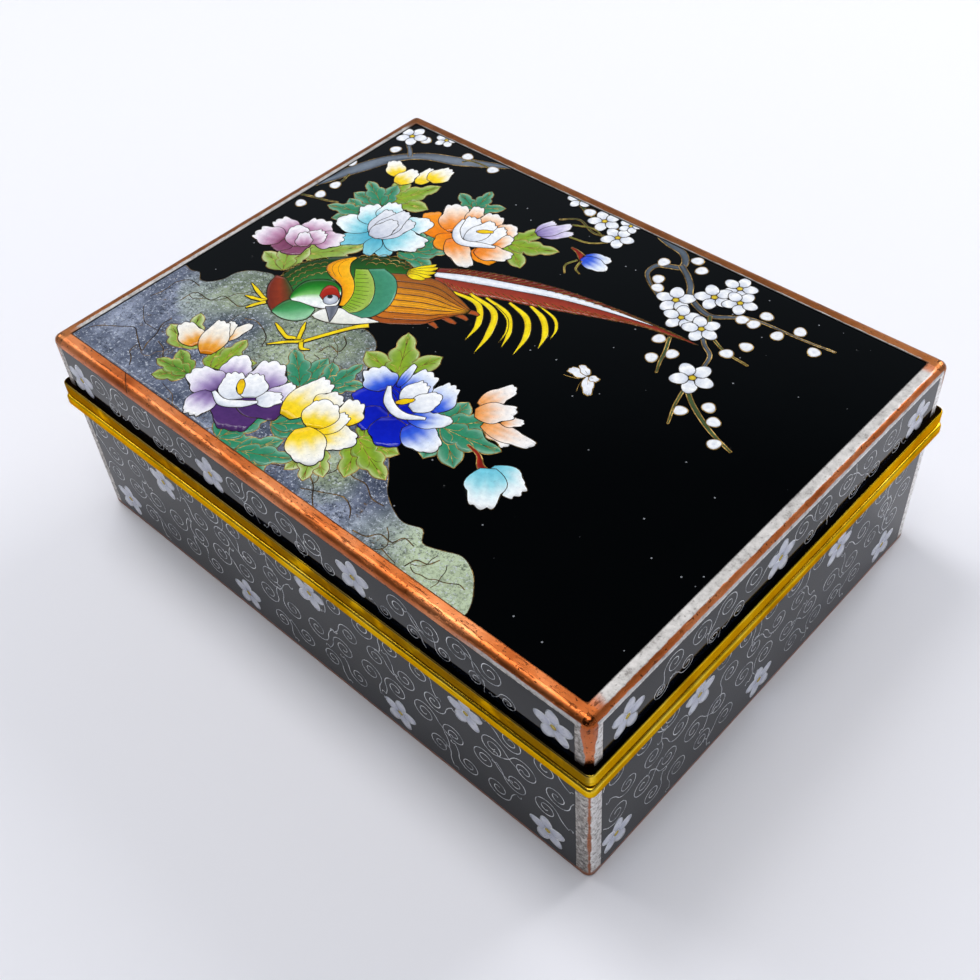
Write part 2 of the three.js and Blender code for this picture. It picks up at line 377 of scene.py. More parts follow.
def polished_brass():
    """Rolled brass strip, polished: deep yellow, drawn lengthwise, with a painted khaki reflection of the
    table on the front face of the lid's rim, a painted near-black reflection on the upward face of the ledge
    below the lid's wall, and painted shade in the groove at the top of the base's rim."""
    material, tree, shader = new_material("polished_brass", Metallic=1.0)
    coordinates = object_place(tree)
    x, y, z = xyz_of(tree, coordinates)
    height = times(tree, z, 1 / MM)
    cloud = grain(tree, coordinates, 9.0, 4, 0.6)
    colour = ramp(tree, cloud, (0.32, "#c4991c"), (0.5, "#ecbe2a"), (0.68, "#fbd850"))
    # painted reflection: the front face of the lid's rim is painted khaki in patches, standing for the table
    # it mirrors
    lid_front = times(tree, smoothstep(tree, height, 30.0, 30.2), smoothstep(tree, y, -0.0476, -0.0479))
    painted_khaki_reflection = times(tree, lid_front, smoothstep(tree, grain(tree, coordinates, 6.0, 3), 0.3, 0.5))
    colour = mix(tree, times(tree, painted_khaki_reflection, 0.85), colour, linear("#7d6a3c"))
    drawn = grain(tree, coordinates, 0.6, 4, 0.65, (0.06, 0.06, 1))
    streak = smoothstep(tree, drawn, 0.58, 0.75)
    colour = mix(tree, times(tree, streak, 0.5), colour, linear("#6b4d0c"))
    # painted reflection and painted shade: the upward faces of the lid rim's ledge are painted near black,
    # and the groove at the top of the base's rim is painted dark
    upward = xyz_of(tree, node(tree, "ShaderNodeNewGeometry").outputs["Normal"])[2]
    ledge = times(tree, smoothstep(tree, upward, 0.90, 0.985), smoothstep(tree, height, 32.6, 32.75))
    groove = times(tree, smoothstep(tree, height, 29.55, 29.65), smoothstep(tree, height, 30.05, 29.9))
    painted_dark_ledge_and_groove = most(tree, ledge, times(tree, groove, 0.8))
    colour = mix(tree, painted_dark_ledge_and_groove, colour, linear("#0d0b08"))
    tree.links.new(colour, shader.inputs["Base Color"])
    roughness = plus(tree, 0.14, times(tree, drawn, 0.22))
    tree.links.new(roughness, shader.inputs["Roughness"])
    # brass stays yellow at a slant too
    shader.inputs["Specular Tint"].default_value = linear("#d8a83c")
    relief = plus(tree, drawn, times(tree, grain(tree, coordinates, 7.0, 2), 1.5))
    tree.links.new(bump(tree, relief, 0.03), shader.inputs["Normal"])
    return material

# %% [markdown]
# ## Black enamel
# Enamel is glass, ground and polished flat over its wires. It is black through, smooth as a mirror, and
# has some small pits and pale specks where gas or dust was caught in the firing.

# %% Black enamel
def spots(tree, coordinates, spacing_mm, edges, channel, chosen):
    """Round spots, at most one to a Voronoi cell of that spacing. edges are the distances from the
    cell's middle where a spot starts and where it is full. A cell has a spot if its random colour's
    channel is above the numbers in chosen."""
    cells = node(tree, "ShaderNodeTexVoronoi", {"Vector": coordinates, "Scale": per_mm(spacing_mm)})
    draw = node(tree, "ShaderNodeSeparateColor", {"Color": cells.outputs["Color"]}).outputs[channel]
    return times(tree, smoothstep(tree, cells.outputs["Distance"], *edges), smoothstep(tree, draw, *chosen))


def black_enamel(name, body, speck_share):
    """Black glass: body is its colour, and speck_share how much its pale specks show."""
    material, tree, shader = new_material(name, IOR=1.24)
    coordinates = object_place(tree)
    cloud = grain(tree, coordinates, 14.0, 3)
    colour = mix(tree, cloud, linear(body), linear("#020304"))
    speck = spots(tree, coordinates, 2.6, (0.075, 0.04), 0, (0.55, 0.62))
    colour = mix(tree, times(tree, speck, speck_share), colour, linear("#8d9096"))
    tree.links.new(colour, shader.inputs["Base Color"])
    roughness = plus(tree, 0.035, times(tree, grain(tree, coordinates, 3.0, 4), 0.06))
    tree.links.new(roughness, shader.inputs["Roughness"])
    pit = spots(tree, coordinates, 4.0, (0.07, 0.03), 1, (0.72, 0.76))
    relief = minus(tree, times(tree, grain(tree, coordinates, 9.0, 2), 0.35), pit)
    tree.links.new(bump(tree, relief, 0.03), shader.inputs["Normal"])
    return material


side_enamel = black_enamel("black_enamel_sides", "#0d131f", 0.0)
top_enamel = black_enamel("black_enamel_top", "#030405", 0.9)
inner_enamel = black_enamel("black_enamel_plain", "#0b0e13", 0.0)
copper_material = worn_copper()
brass_material = polished_brass()

# %% [markdown]
# The CAD nodes keep their shape. Their triangles are loose, so a Weld joins them, an Edge Split keeps
# the sharp edges, and weighted normals keep the flat faces flat while the round edges look round.

# %% Finish for the CAD nodes
metal_finishes = {"base_shell": copper_material, "lid_shell": copper_material,
                  "base_rim": brass_material, "lid_rim": brass_material}
finishes = {**metal_finishes,
            "base_enamel_underside": inner_enamel, "base_enamel_lining": inner_enamel,
            "lid_enamel_lining": inner_enamel, "lid_enamel_top": top_enamel}
weld_mm = 0.001
sharp_edge_degrees = 32
for name, cad_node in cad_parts.items():
    cad_node.data.materials.clear()
    cad_node.data.materials.append(finishes.get(name, side_enamel))
    if name in metal_finishes:
        cad_node.data.shade_smooth()
        weld = cad_node.modifiers.new("weld", "WELD")
        weld.merge_threshold = weld_mm * MM
        split = cad_node.modifiers.new("split", "EDGE_SPLIT")
        split.split_angle = math.radians(sharp_edge_degrees)
        weighted = cad_node.modifiers.new("weighted", "WEIGHTED_NORMAL")
        weighted.mode = "FACE_AREA"
print("finished", len(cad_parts), "CAD nodes")

# %% [markdown]
# ## Cells and wires
# A cloisonne picture is drawn with wire: each patch of colour is a cell, fenced in by a flat wire that
# stands on edge, filled with ground glass, fired and polished flush. So two kinds of piece are enough.
# A cell is a grid of points (u, v) with a colour at each point, given a few hundredths of a millimetre of
# thickness. A wire is a narrow crowned strip along a line. A cell laid later covers the one under it,
# by a step that is far too thin to see, which saves working out where two petals meet.

# %% Levels
plaque_top_mm = 1000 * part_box("lid_enamel_top")[1][2]
layer_mm = 0.0025          # each cell lies this much above the one laid before it
wire_crown_mm = 0.0015     # a wire stands this much above its cell
wire_width_mm = 0.2
cell_foot_mm = 0.02        # cells and wires reach this deep into the black enamel

# %% Thin solids from grids
def grid_faces(rows, columns):
    """Faces of a closed slab whose top is a rows by columns grid and whose bottom is the same grid:
    quads of the top, the same quads turned over for the bottom, and a band of quads between the rims."""
    index = np.arange(rows * columns).reshape(rows, columns)
    top = np.stack([index[:-1, :-1], index[1:, :-1], index[1:, 1:], index[:-1, 1:]], -1).reshape(-1, 4)
    bottom = top[:, ::-1] + rows * columns
    rim = np.concatenate([index[0, :], index[1:, -1], index[-1, -2::-1], index[-2:0:-1, 0]])
    following = np.roll(rim, -1)
    band = np.stack([rim, following, following + rows * columns, rim + rows * columns], -1)
    return np.concatenate([top, bottom, band])


class Motif:
    """One motif of the picture: its cells and its wires, gathered in a frame with the plane's own
    x and y, and z outwards, all in millimetres."""

    def __init__(self, name, layer=0):
        self.name = name
        self.points, self.faces, self.colours, self.count = [], [], [], 0
        self.wire_points, self.wire_faces, self.wire_count = [], [], 0
        self.layer = layer

    def cell(self, xy, colours, width=wire_width_mm):
        """Adds a cell. xy is a grid (rows, columns, 2) and colours a grid (rows, columns, 3). The slab
        faces up whichever way the grid winds. Its rim gets a wire."""
        self.layer += 1
        level = self.layer * layer_mm
        rows, columns = xy.shape[:2]
        edge_a, edge_b = xy[1:, :-1] - xy[:-1, :-1], xy[:-1, 1:] - xy[:-1, :-1]
        if (edge_a[..., 0] * edge_b[..., 1] - edge_a[..., 1] * edge_b[..., 0]).sum() < 0:
            xy, colours = xy[:, ::-1], colours[:, ::-1]
        flat = xy.reshape(-1, 2)
        upper = np.column_stack([flat, np.full(len(flat), level)])
        lower = np.column_stack([flat, np.full(len(flat), -cell_foot_mm)])
        self.points += [upper, lower]
        self.colours += [colours.reshape(-1, 3)] * 2
        self.faces.append(grid_faces(rows, columns) + self.count)
        self.count += 2 * len(flat)
        rim = np.concatenate([xy[0, :], xy[1:, -1], xy[-1, -2::-1], xy[-2:0:-1, 0]])
        self.wire(rim, closed=True, width=width, level=level)

    def wire(self, line, closed=False, width=wire_width_mm, level=None):
        """Adds a wire along a line of (x, y) points: four points across, two at its feet and two on its
        crown, carried along the line's sideways direction."""
        level = self.layer * layer_mm if level is None else level
        line = np.asarray(line, float)
        step = np.linalg.norm(np.diff(line, axis=0), axis=1)
        line = line[np.concatenate([[True], step > 1e-5])]
        if closed and np.linalg.norm(line[0] - line[-1]) < 1e-4:
            line = line[:-1]
        if len(line) < 2:
            return
        if closed:
            along = np.roll(line, -1, 0) - np.roll(line, 1, 0)
        else:
            along = np.gradient(line, axis=0)
        along /= np.linalg.norm(along, axis=1, keepdims=True) + 1e-12
        side = np.column_stack([along[:, 1], -along[:, 0]])
        across = np.array([-0.5, -0.36, 0.36, 0.5]) * width
        height = np.array([-cell_foot_mm, level + wire_crown_mm, level + wire_crown_mm, -cell_foot_mm])
        section = line[:, None, :] + across[None, :, None] * side[:, None, :]
        points = np.concatenate([section, np.broadcast_to(height[None, :, None], (len(line), 4, 1))], -1)
        n = len(line)
        index = np.arange(n * 4).reshape(n, 4)
        ahead = np.roll(index, -1, 0) if closed else index[1:]
        here = index if closed else index[:-1]
        faces = np.stack([here, ahead, np.roll(ahead, -1, 1), np.roll(here, -1, 1)], -1)
        faces = faces[:, :, ::-1].reshape(-1, 4)
        if not closed:
            faces = np.concatenate([faces, index[0][None, :], index[-1][None, ::-1]])
        self.wire_points.append(points.reshape(-1, 3))
        self.wire_faces.append(faces + self.wire_count)
        self.wire_count += n * 4


def mesh_object(name, points, faces, to_box, colours=None):
    """A mesh object from point, quad and colour arrays. to_box turns points in the plane's frame, in
    millimetres, into points on the box, in millimetres."""
    mesh = bpy.data.meshes.new(name)
    placed = to_box(np.concatenate(points)) * MM
    quads = np.concatenate(faces).astype(np.int32)
    mesh.vertices.add(len(placed))
    mesh.vertices.foreach_set("co", placed.astype(np.float32).ravel())
    mesh.loops.add(quads.size)
    mesh.loops.foreach_set("vertex_index", quads.ravel())
    mesh.polygons.add(len(quads))
    mesh.polygons.foreach_set("loop_start", np.arange(0, quads.size, 4, dtype=np.int32))
    mesh.update(calc_edges=True)
    flat = np.concatenate(points)
    low, high = flat[:, :2].min(0), flat[:, :2].max(0)
    layout = mesh.uv_layers.new(name="OFBake")
    spread = (flat[quads.ravel(), :2] - low) / (high - low).max()
    layout.uv.foreach_set("vector", (0.005 + 0.99 * spread).astype(np.float32).ravel())
    if colours is not None:
        attribute = mesh.color_attributes.new("glaze", "FLOAT_COLOR", "POINT")
        rgba = np.column_stack([np.concatenate(colours), np.ones(len(placed))])
        attribute.data.foreach_set("color", rgba.astype(np.float32).ravel())
    return link_object(name, mesh)


plaque_half_mm = np.array([60.60, 44.20])     # half the length and width of the lid's plaque


def lay_on_lid(points):
    """The lid's plane: x and y as on the box, z above the black plaque. What would pass the plaque's edge
    stops there: past the limit a point goes on by only 0.04 * (1 - exp(-excess)) mm."""
    flat = points[:, :2]
    excess = np.maximum(np.abs(flat) - plaque_half_mm, 0)
    kept = np.where(excess > 0, np.sign(flat) * (plaque_half_mm + 0.04 * (1 - np.exp(-excess))), flat)
    return np.column_stack([kept, points[:, 2] + plaque_top_mm])


def finish_motif(motif, glaze, metal, to_box=lay_on_lid):
    """Makes the motif's two pieces, gives them their finish and lets them ride on the box."""
    if motif.points:
        cells = mesh_object(motif.name, motif.points, motif.faces, to_box, motif.colours)
        cells.data.materials.append(glaze)
        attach(cells, "root")
    if motif.wire_points:
        wires = mesh_object(motif.name + "_wires", motif.wire_points, motif.wire_faces, to_box)
        wires.data.materials.append(metal)
        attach(wires, "root")
    print(motif.name, "has", motif.count, "cell points and", motif.wire_count, "wire points")

# %% Glazes and wire metal
def glaze_material(name, depth, speckle_mm, speckle_share):
    """Coloured enamel: the cell's own colour, clouded a little and peppered with fine grains where the
    ground glass didn't melt quite evenly."""
    material, tree, shader = new_material(name, IOR=1.33)
    coordinates = object_place(tree)
    painted = node(tree, "ShaderNodeAttribute", attribute_name="glaze").outputs["Color"]
    cloud = smoothstep(tree, grain(tree, coordinates, 1.1, 4, 0.6), 0.3, 0.7)
    cool_shade, unchanged = (0.78, 0.80, 0.84, 1), (1.0, 1.0, 1.0, 1)
    clouded = mix(tree, cloud, cool_shade, unchanged)
    colour = mix(tree, depth, painted, clouded, "MULTIPLY")
    fine = smoothstep(tree, grain(tree, coordinates, speckle_mm, 2, 0.5), 0.62, 0.75)
    colour = mix(tree, times(tree, fine, speckle_share), colour, linear("#3b3a36"))
    tree.links.new(colour, shader.inputs["Base Color"])
    roughness = plus(tree, 0.06, times(tree, cloud, 0.06))
    tree.links.new(roughness, shader.inputs["Roughness"])
    wave = grain(tree, coordinates, 3.0, 3)
    tree.links.new(bump(tree, wave, 0.02), shader.inputs["Normal"])
    return material


def wire_material(name, low, high, dark):
    """Flat wire with its polished edge up, browned here and there."""
    material, tree, shader = new_material(name, Metallic=1.0, Roughness=0.38)
    cloud = grain(tree, object_place(tree), 1.6, 4, 0.7)
    colour = ramp(tree, cloud, (0.34, dark), (0.5, low), (0.68, high))
    tree.links.new(colour, shader.inputs["Base Color"])
    return material


petal_glaze = glaze_material("opaque_enamel", 0.8, 0.30, 0.25)
gilt_wire = wire_material("gilt_copper_wire", "#86682f", "#d8b46a", "#43310f")
petal_wire = wire_material("browned_petal_wire", "#1e170c", "#54421f", "#0c0804")
silver_wire = wire_material("silver_wire", "#c6c9cd", "#f6f7f8", "#666a70")

# %% [markdown]
# ## Shapes of the picture
# Each figure is a function of its own sizes: a petal is a fan with a ruffled edge, a blade is a strip
# whose width swells and tapers along a bent spine, a stroke is a strip of given width along a line.
# Flowers, leaves and feathers are loops over those.

# %% Colour along a cell
def shades(*stops):
    """A function from a number in 0 to 1 to linear colours, straight from
    one (position, hex colour) stop to the next."""
    places = np.array([position for position, colour in stops])
    values = np.array([linear(colour)[:3] for position, colour in stops])

    def colour_at(t):
        t = np.clip(t, 0, 1)
        return np.stack([np.interp(t, places, values[:, k]) for k in range(3)], -1)
    return colour_at


def blend_colours(a, b, share):
    """a where share is 0 and b where it is 1."""
    share = np.asarray(share)[..., None]
    return a * (1 - share) + b * share

# %% Grids for petals, blades, strokes and patches
def turned(xy, angle):
    """Points turned by angle, in degrees, about the origin."""
    c, s = math.cos(math.radians(angle)), math.sin(math.radians(angle))
    return np.stack([xy[..., 0] * c - xy[..., 1] * s, xy[..., 0] * s + xy[..., 1] * c], -1)


def uv_grid(rows, columns):
    """u from 0 to 1 down the rows and v from -1 to 1 along the columns."""
    return np.meshgrid(np.linspace(0, 1, rows), np.linspace(-1, 1, columns), indexing="ij")


leaf_stalk = 0.06     # the share of a blade below its first lobe
lobe_depth = 0.42     # how deep the lobes are cut, as a share of the half width


def petal_grid(base, angle, length, width, ruffle, scallops, phase, rows=8, columns=29):
    """A petal that opens from its base. Across it v runs from side to side: the half width at u is
    width / 2 times the sine of a part of a half turn, and the reach at v is the length, less where v
    nears the sides, with round scallops that |cos(scallops * pi * v / 2 + phase)| gives."""
    u, v = uv_grid(rows, columns)
    ruffle = ruffle * min(1.0, width / length) ** 1.5
    half = width / 2 * np.sin(np.pi * (0.08 + 0.60 * u)) ** 0.75
    narrowing = 1 - 0.13 * u ** 5 * v ** 2 - 0.04 * np.cos(2 * scallops * v) * u
    scallop = np.abs(np.cos(scallops * np.pi * v / 2 + phase)) ** 0.8 - 0.7
    uneven = 0.04 * np.sin(2.3 * v + 3 * phase)
    reach = length * (1 - 0.33 * np.abs(v) ** 3.5 + (ruffle * scallop + uneven) * u)
    xy = np.stack([u * reach, half * v * narrowing], -1)
    return turned(xy, angle) + np.array(base), u, v


def blade_grid(base, angle, length, width, bend, lobes, rows=25, columns=7):
    """A blade with a blunt point. Its spine bends by bend degrees from base to tip, and its half width at
    u is width / 2 times sin(pi * u ** 0.72) ** 0.72, cut into rounded lobes that lean towards the tip."""
    u, v = uv_grid(rows, columns)
    heading = np.radians(angle + bend * (np.linspace(0, 1, rows) - 0.3))
    step = length / (rows - 1)
    spine = np.cumsum(np.column_stack([np.cos(heading), np.sin(heading)]) * step, axis=0)
    spine = spine - spine[0]
    side = np.column_stack([-np.sin(heading), np.cos(heading)])
    half = width / 2 * np.sin(np.pi * np.clip(u, 0.012, 0.994) ** 0.72) ** 0.72
    stretch = np.clip((u - leaf_stalk) / (1 - leaf_stalk), 0, 1) * lobes
    half = half * (1 - lobe_depth + lobe_depth * np.abs(np.sin(np.pi * stretch)) ** 0.55)
    lean = 0.10 * length / lobes * np.sin(np.pi * stretch) ** 2 * np.abs(v) ** 2
    along = np.stack([np.cos(heading), np.sin(heading)], -1)
    xy = spine[:, None, :] + side[:, None, :] * (half * v)[..., None]
    xy = xy + along[:, None, :] * lean[..., None]
    return xy + np.array(base), u, v


def smooth_line(points, steps=8):
    """A smooth line through the points: Catmull-Rom, each stretch a cubic of its two ends and their
    neighbours."""
    p = np.asarray(points, float)
    p = np.concatenate([2 * p[:1] - p[1:2], p, 2 * p[-1:] - p[-2:-1]])
    t = np.linspace(0, 1, steps, endpoint=False)[:, None]
    parts = []
    for a, b, c, d in zip(p[:-3], p[1:-2], p[2:-1], p[3:]):
        parts.append(0.5 * (2 * b + (c - a) * t + (2 * a - 5 * b + 4 * c - d) * t ** 2
                            + (3 * b - a - 3 * c + d) * t ** 3))
    return np.concatenate(parts + [p[-2:-1]])


def stroke_grid(points, widths, columns=5):
    """A strip along a smooth line. widths are its full widths, spread evenly along the line."""
    line = smooth_line(points)
    along = np.gradient(line, axis=0)
    along /= np.linalg.norm(along, axis=1, keepdims=True) + 1e-12
    side = np.column_stack([-along[:, 1], along[:, 0]])
    t = np.linspace(0, 1, len(line))
    half = np.interp(t, np.linspace(0, 1, len(widths)), widths) / 2
    u, v = uv_grid(len(line), columns)
    return line[:, None, :] + side[:, None, :] * (half[:, None] * v)[..., None], u, v


def patch_grid(left, right, rows, columns):
    """A patch between two smooth edges: at v = -1 the left line, at v = 1 the right one."""
    t = np.linspace(0, 1, rows)
    ends = []
    for edge in (left, right):
        line = smooth_line(edge, 12)
        along = np.linspace(0, 1, len(line))
        ends.append(np.stack([np.interp(t, along, line[:, k]) for k in (0, 1)], -1))
    a, b = ends
    u, v = uv_grid(rows, columns)
    share = ((v + 1) / 2)[..., None]
    return a[:, None, :] * (1 - share) + b[:, None, :] * share, u, v


def disc_grid(centre, radius, squash=1.0, angle=0.0, wobble=0.0, size=7):
    """A disc as a grid without a seam: a square's points (a, b) go to a * sqrt(1 - b * b / 2) and
    b * sqrt(1 - a * a / 2), and the rim wobbles three times round. Gives the points and how far out
    each is, from 0 to 1."""
    a, b = np.meshgrid(np.linspace(-1, 1, size), np.linspace(-1, 1, size), indexing="ij")
    x, y = a * np.sqrt(1 - b * b / 2), b * np.sqrt(1 - a * a / 2)
    out = np.hypot(x, y)
    r = radius * (1 + wobble * np.cos(3 * np.arctan2(y, x)) * out)
    return turned(np.stack([r * x, r * y * squash], -1), angle) + np.array(centre), out


# %% Petals, leaves and blossoms
yellow_eye = shades((0.0, "#e8cf3a"), (1.0, "#b08f14"))


def add_petal(motif, base, tip, width, colours, ruffle=0.10, scallops=3.0, phase=0.0, longer=1.0, veins=0):
    """One petal from its base to longer times its tip, its colour running from base to tip, with short
    veins that fan from its base."""
    reach = np.array(tip) - np.array(base)
    angle = math.degrees(math.atan2(reach[1], reach[0]))
    xy, u, v = petal_grid(base, angle, math.hypot(*reach) * longer, width, ruffle, scallops, phase)
    tint = colours(u + 0.10 * np.cos(3 * np.pi * v + phase) * u * (1 - u) * 2)
    motif.cell(xy, tint)
    for k in range(veins):
        across = (k + 0.5) / veins * 1.1 - 0.55
        column = int(round((across + 1) / 2 * (xy.shape[1] - 1)))
        motif.wire(xy[1:4, column], width=0.10)


def add_leaf(motif, base, angle, length, colours, spread, pairs, seed):
    """A divided leaf: a long middle blade and pairs of side blades, each lobed, with a midrib and a vein
    of wire to every lobe. It is deep green along the midrib and pale at its lobes."""
    random = np.random.default_rng(seed)
    bend_degrees = 10
    blades = [(0.0, 1.0)]
    for k in range(pairs):
        for side in (-1, 1):
            blades.append((side * spread * (k + 1) * random.uniform(0.85, 1.15), 0.82 - 0.2 * k))
    for turn, share in blades[::-1]:
        reach = length * share * random.uniform(0.95, 1.1)
        lobes = 3 if share > 0.9 else 2
        xy, u, v = blade_grid(base, angle + turn, reach, length * 0.5 * (0.8 + 0.2 * share),
                              bend_degrees * np.sign(turn) if turn else bend_degrees, lobes)
        tint = colours(np.clip(0.75 * np.abs(v) ** 1.2 * (0.5 + u) + 0.35 * u ** 2, 0, 1))
        motif.cell(xy, tint)
        middle = xy.shape[1] // 2
        last = len(xy) - 1
        motif.wire(xy[:-2, middle], width=0.16)
        for k in range(lobes):
            row = int(round((leaf_stalk + (1 - leaf_stalk) * (k + 0.12) / lobes) * last))
            out = min(row + 5, last - 2)
            for column in (1, -2):
                halfway = 0.6 * xy[out - 1, middle] + 0.4 * xy[out - 1, column]
                motif.wire(smooth_line([xy[row, middle], halfway, xy[out, column]], 3), width=0.13)


def add_blossom(motif, centre, radius, turn, petal_colours, slim=0.84):
    """A five-petalled plum blossom: rounded petals, and a small yellow eye with a ring of wire."""
    centre = np.array(centre, float)
    ground = motif.layer
    for k in range(5):
        angle = turn + 72 * k
        direction = np.array([math.cos(math.radians(angle)), math.sin(math.radians(angle))])
        middle = centre + direction * radius * 0.58
        xy, out = disc_grid(middle, radius * 0.43, slim, angle, 0.03)
        toward = ((xy - centre) ** 2).sum(-1) ** 0.5 / radius
        motif.layer = ground + k
        motif.cell(xy, petal_colours(toward))
    for k in range(5):
        angle = math.radians(turn + 72 * k + 36)
        direction = np.array([math.cos(angle), math.sin(angle)])
        motif.wire([centre + direction * radius * 0.2, centre + direction * radius * 0.42], width=0.08)
    xy, out = disc_grid(centre, radius * 0.17, size=5)
    motif.cell(xy, yellow_eye(out), width=0.14)
    motif.layer = ground


def add_bud(motif, centre, radius, petal_colours, turn):
    """A round bud: one cell, a little longer one way."""
    xy, out = disc_grid(centre, radius, 0.9, turn, 0.05)
    motif.cell(xy, petal_colours(0.35 + 0.65 * out))


def add_stroke(motif, points, widths, colours):
    """A tapering strip, its colour running across it in a slight wave."""
    xy, u, v = stroke_grid(points, widths)
    motif.cell(xy, colours(0.5 + 0.5 * v + 0.15 * np.sin(14 * u + 2 * v)))

# %% [markdown]
# ## The four sides
# Each side carries rows of wire scrolls, linked in pairs like the letter S, and white plum blossoms
# between them. A side is laid out flat, with x to the right as seen from outside and y up the wall, and
# is then stood up against its own wall. The lid and the base are apart, so their wires are too.

# %% Scrolls
scroll_width_mm = 0.18
scroll_level_mm = 0.015
blossom_radius_mm = 3.7
white_petal = shades((0.0, "#c4c7d8"), (0.35, "#d6d8e8"), (0.8, "#f0f1f8"), (1.0, "#bfc2d4"))


def spiral(centre, radius, start, turns, way, points=22):
    """A spiral line that winds inwards: its distance from the centre falls evenly with the angle."""
    t = np.linspace(0, 1, int(points * turns))
    angle = math.radians(start) + way * 2 * np.pi * turns * t
    r = radius * (1 - 0.84 * t)
    return np.stack([centre[0] + r * np.cos(angle), centre[1] + r * np.sin(angle)], -1)


def add_scroll(motif, centre, radius, random, flip, field):
    """A scroll with a tail: the spiral, and a curl that leads away from its outer end to a small hook. What
    would pass the field, given as its low and high corner, is left off."""
    start = random.uniform(150, 215) if flip > 0 else random.uniform(-35, 30)
    radius = radius * random.uniform(0.92, 1.06)
    way = 1 if random.random() < 0.5 else -1
    line = spiral(centre, radius, start, 1.85, way)
    outer = math.radians(start)
    leave = np.array([math.sin(outer) * way, -math.cos(outer) * way])
    away = np.array([math.cos(outer), math.sin(outer)])
    reach = radius * random.uniform(0.75, 1.0)
    t = np.linspace(0.14, 1, 9)[:, None]
    tail = line[0] + leave * reach * t * 1.35 + away * reach * 0.55 * t ** 2
    hook = spiral(tail[-1] + away * 0.26 * radius, 0.26 * radius, start + 180, 0.6, -way, 16)
    whole = np.concatenate([hook[:0:-1], tail[::-1], line])
    outside = np.any((whole < field[0]) | (whole > field[1]), axis=1)
    if outside.any():
        whole = whole[np.nonzero(outside)[0][-1] + 1:]
    if len(whole) > 5:
        motif.wire(whole, width=scroll_width_mm, level=scroll_level_mm)


# %% Standing the wires up against a wall
def lay_on_wall(side):
    """Turns the flat frame of a side into the box's frame: x right and y up, as seen from outside."""
    face = {"front": half_width_mm, "back": half_width_mm, "right": half_length_mm, "left": half_length_mm}

    def to_box(points):
        across, up, out = points.T
        depth = face[side] + out
        return {"front": np.column_stack([across, -depth, up]),
                "back": np.column_stack([-across, depth, up]),
                "right": np.column_stack([depth, across, up]),
                "left": np.column_stack([-depth, -across, up])}[side]
    return to_box


def side_band(name, side, half, heights, blossoms, rows, seed):
    """One wall's scrolls and blossoms. rows are (height, radius, spacing, first x); a scroll that would
    meet a blossom or the wall's end is left out."""
    motif = Motif(name, layer=3)
    random = np.random.default_rng(seed)
    field = np.array([(-half, heights[0]), (half, heights[1])])
    for height, radius, spacing, first in rows:
        x = -half + first
        flip = 1
        while x < half - radius * 0.9:
            centre = (x + random.uniform(-0.3, 0.3), height + random.uniform(-0.35, 0.35))
            gaps = [math.dist(centre, blossom) for blossom in blossoms]
            if min(gaps) > blossom_radius_mm + radius * 0.72:
                add_scroll(motif, centre, radius, random, flip, field)
            x += spacing
            flip = -flip
    for x, y in blossoms:
        add_blossom(motif, (x, y), blossom_radius_mm, random.uniform(80, 100), white_petal, 0.76)
    finish_motif(motif, side_glaze, silver_wire, lay_on_wall(side))


side_glaze = glaze_material("white_side_enamel", 0.5, 0.35, 0.35)
front_lid = [(-57.0, 36.5), (-19.4, 37.0), (15.9, 37.6), (56.9, 37.4)]
front_base = [(-38.4, 22.0), (2.2, 22.4), (38.6, 22.4), (-55.7, 5.3), (-18.8, 5.2), (21.7, 5.5), (54.9, 5.3)]
right_lid = [(-38.9, 37.3), (-1.6, 37.4), (38.7, 37.0)]
right_base = [(-20.5, 21.6), (18.7, 21.6), (-40.6, 5.9), (-2.0, 5.2), (37.3, 5.4)]
for side, half, on_lid, on_base, seed in (
        ("front", 60.5, front_lid, front_base, 11), ("right", 44.1, right_lid, right_base, 12),
        ("back", 60.5, front_lid, front_base, 13), ("left", 44.1, right_lid, right_base, 14)):
    side_band("lid_scrolls_" + side, side, half, (33.0, 42.0), on_lid,
              [(38.9, 2.75, 6.4, 3.2), (35.0, 1.7, 6.4, 6.3)], seed)
    side_band("base_scrolls_" + side, side, half, (1.0, 27.2), on_base,
              [(24.0, 2.6, 6.6, 3.0), (18.3, 2.7, 6.6, 5.6), (12.5, 2.8, 6.6, 3.2), (6.4, 2.6, 6.6, 5.8)],
              seed + 20)

# %% [markdown]
# ## The lid's picture, from the ground up
# The rock lies lowest, then the branches and leaves, then the flowers, and the bird over the rock.
# Each motif starts at its own layer, so that one that is meant to be in front covers the others.

# %% Rock
rock_blue = shades((0.0, "#464e62"), (0.5, "#697186"), (1.0, "#9ba4ba"))
rock_green = shades((0.0, "#6f7c6a"), (0.5, "#95a288"), (1.0, "#b9c8a8"))
rock_contour = [(-61.6, -18.5), (-60.3, -18.2), (-58.5, -18.5), (-56.7, -17.9), (-54.8, -19.2),
                (-52.9, -18.5), (-51.4, -16.2), (-51.1, -13.8), (-49.6, -11.6), (-47.3, -10.3),
                (-44.9, -9.5), (-41.9, -10.7), (-38.8, -9.5), (-35.1, -8.4), (-31.4, -9.5), (-27.3, -8.5),
                (-23.3, -10.3), (-19.2, -9.5), (-15.5, -10.8), (-13.4, -13.6), (-11.0, -17.7),
                (-7.7, -21.0), (-3.6, -22.6), (0.5, -25.1), (5.4, -28.2), (9.1, -31.6), (12.0, -34.7),
                (15.6, -36.7), (18.5, -37.4), (21.6, -36.5), (23.6, -38.5), (26.7, -37.7), (30.0, -36.5),
                (33.2, -37.7), (35.4, -39.8), (37.0, -41.9), (37.8, -43.7)]
rock_floor_mm = -45.0
short_cracks = 26
crack_stride_mm = 1.25
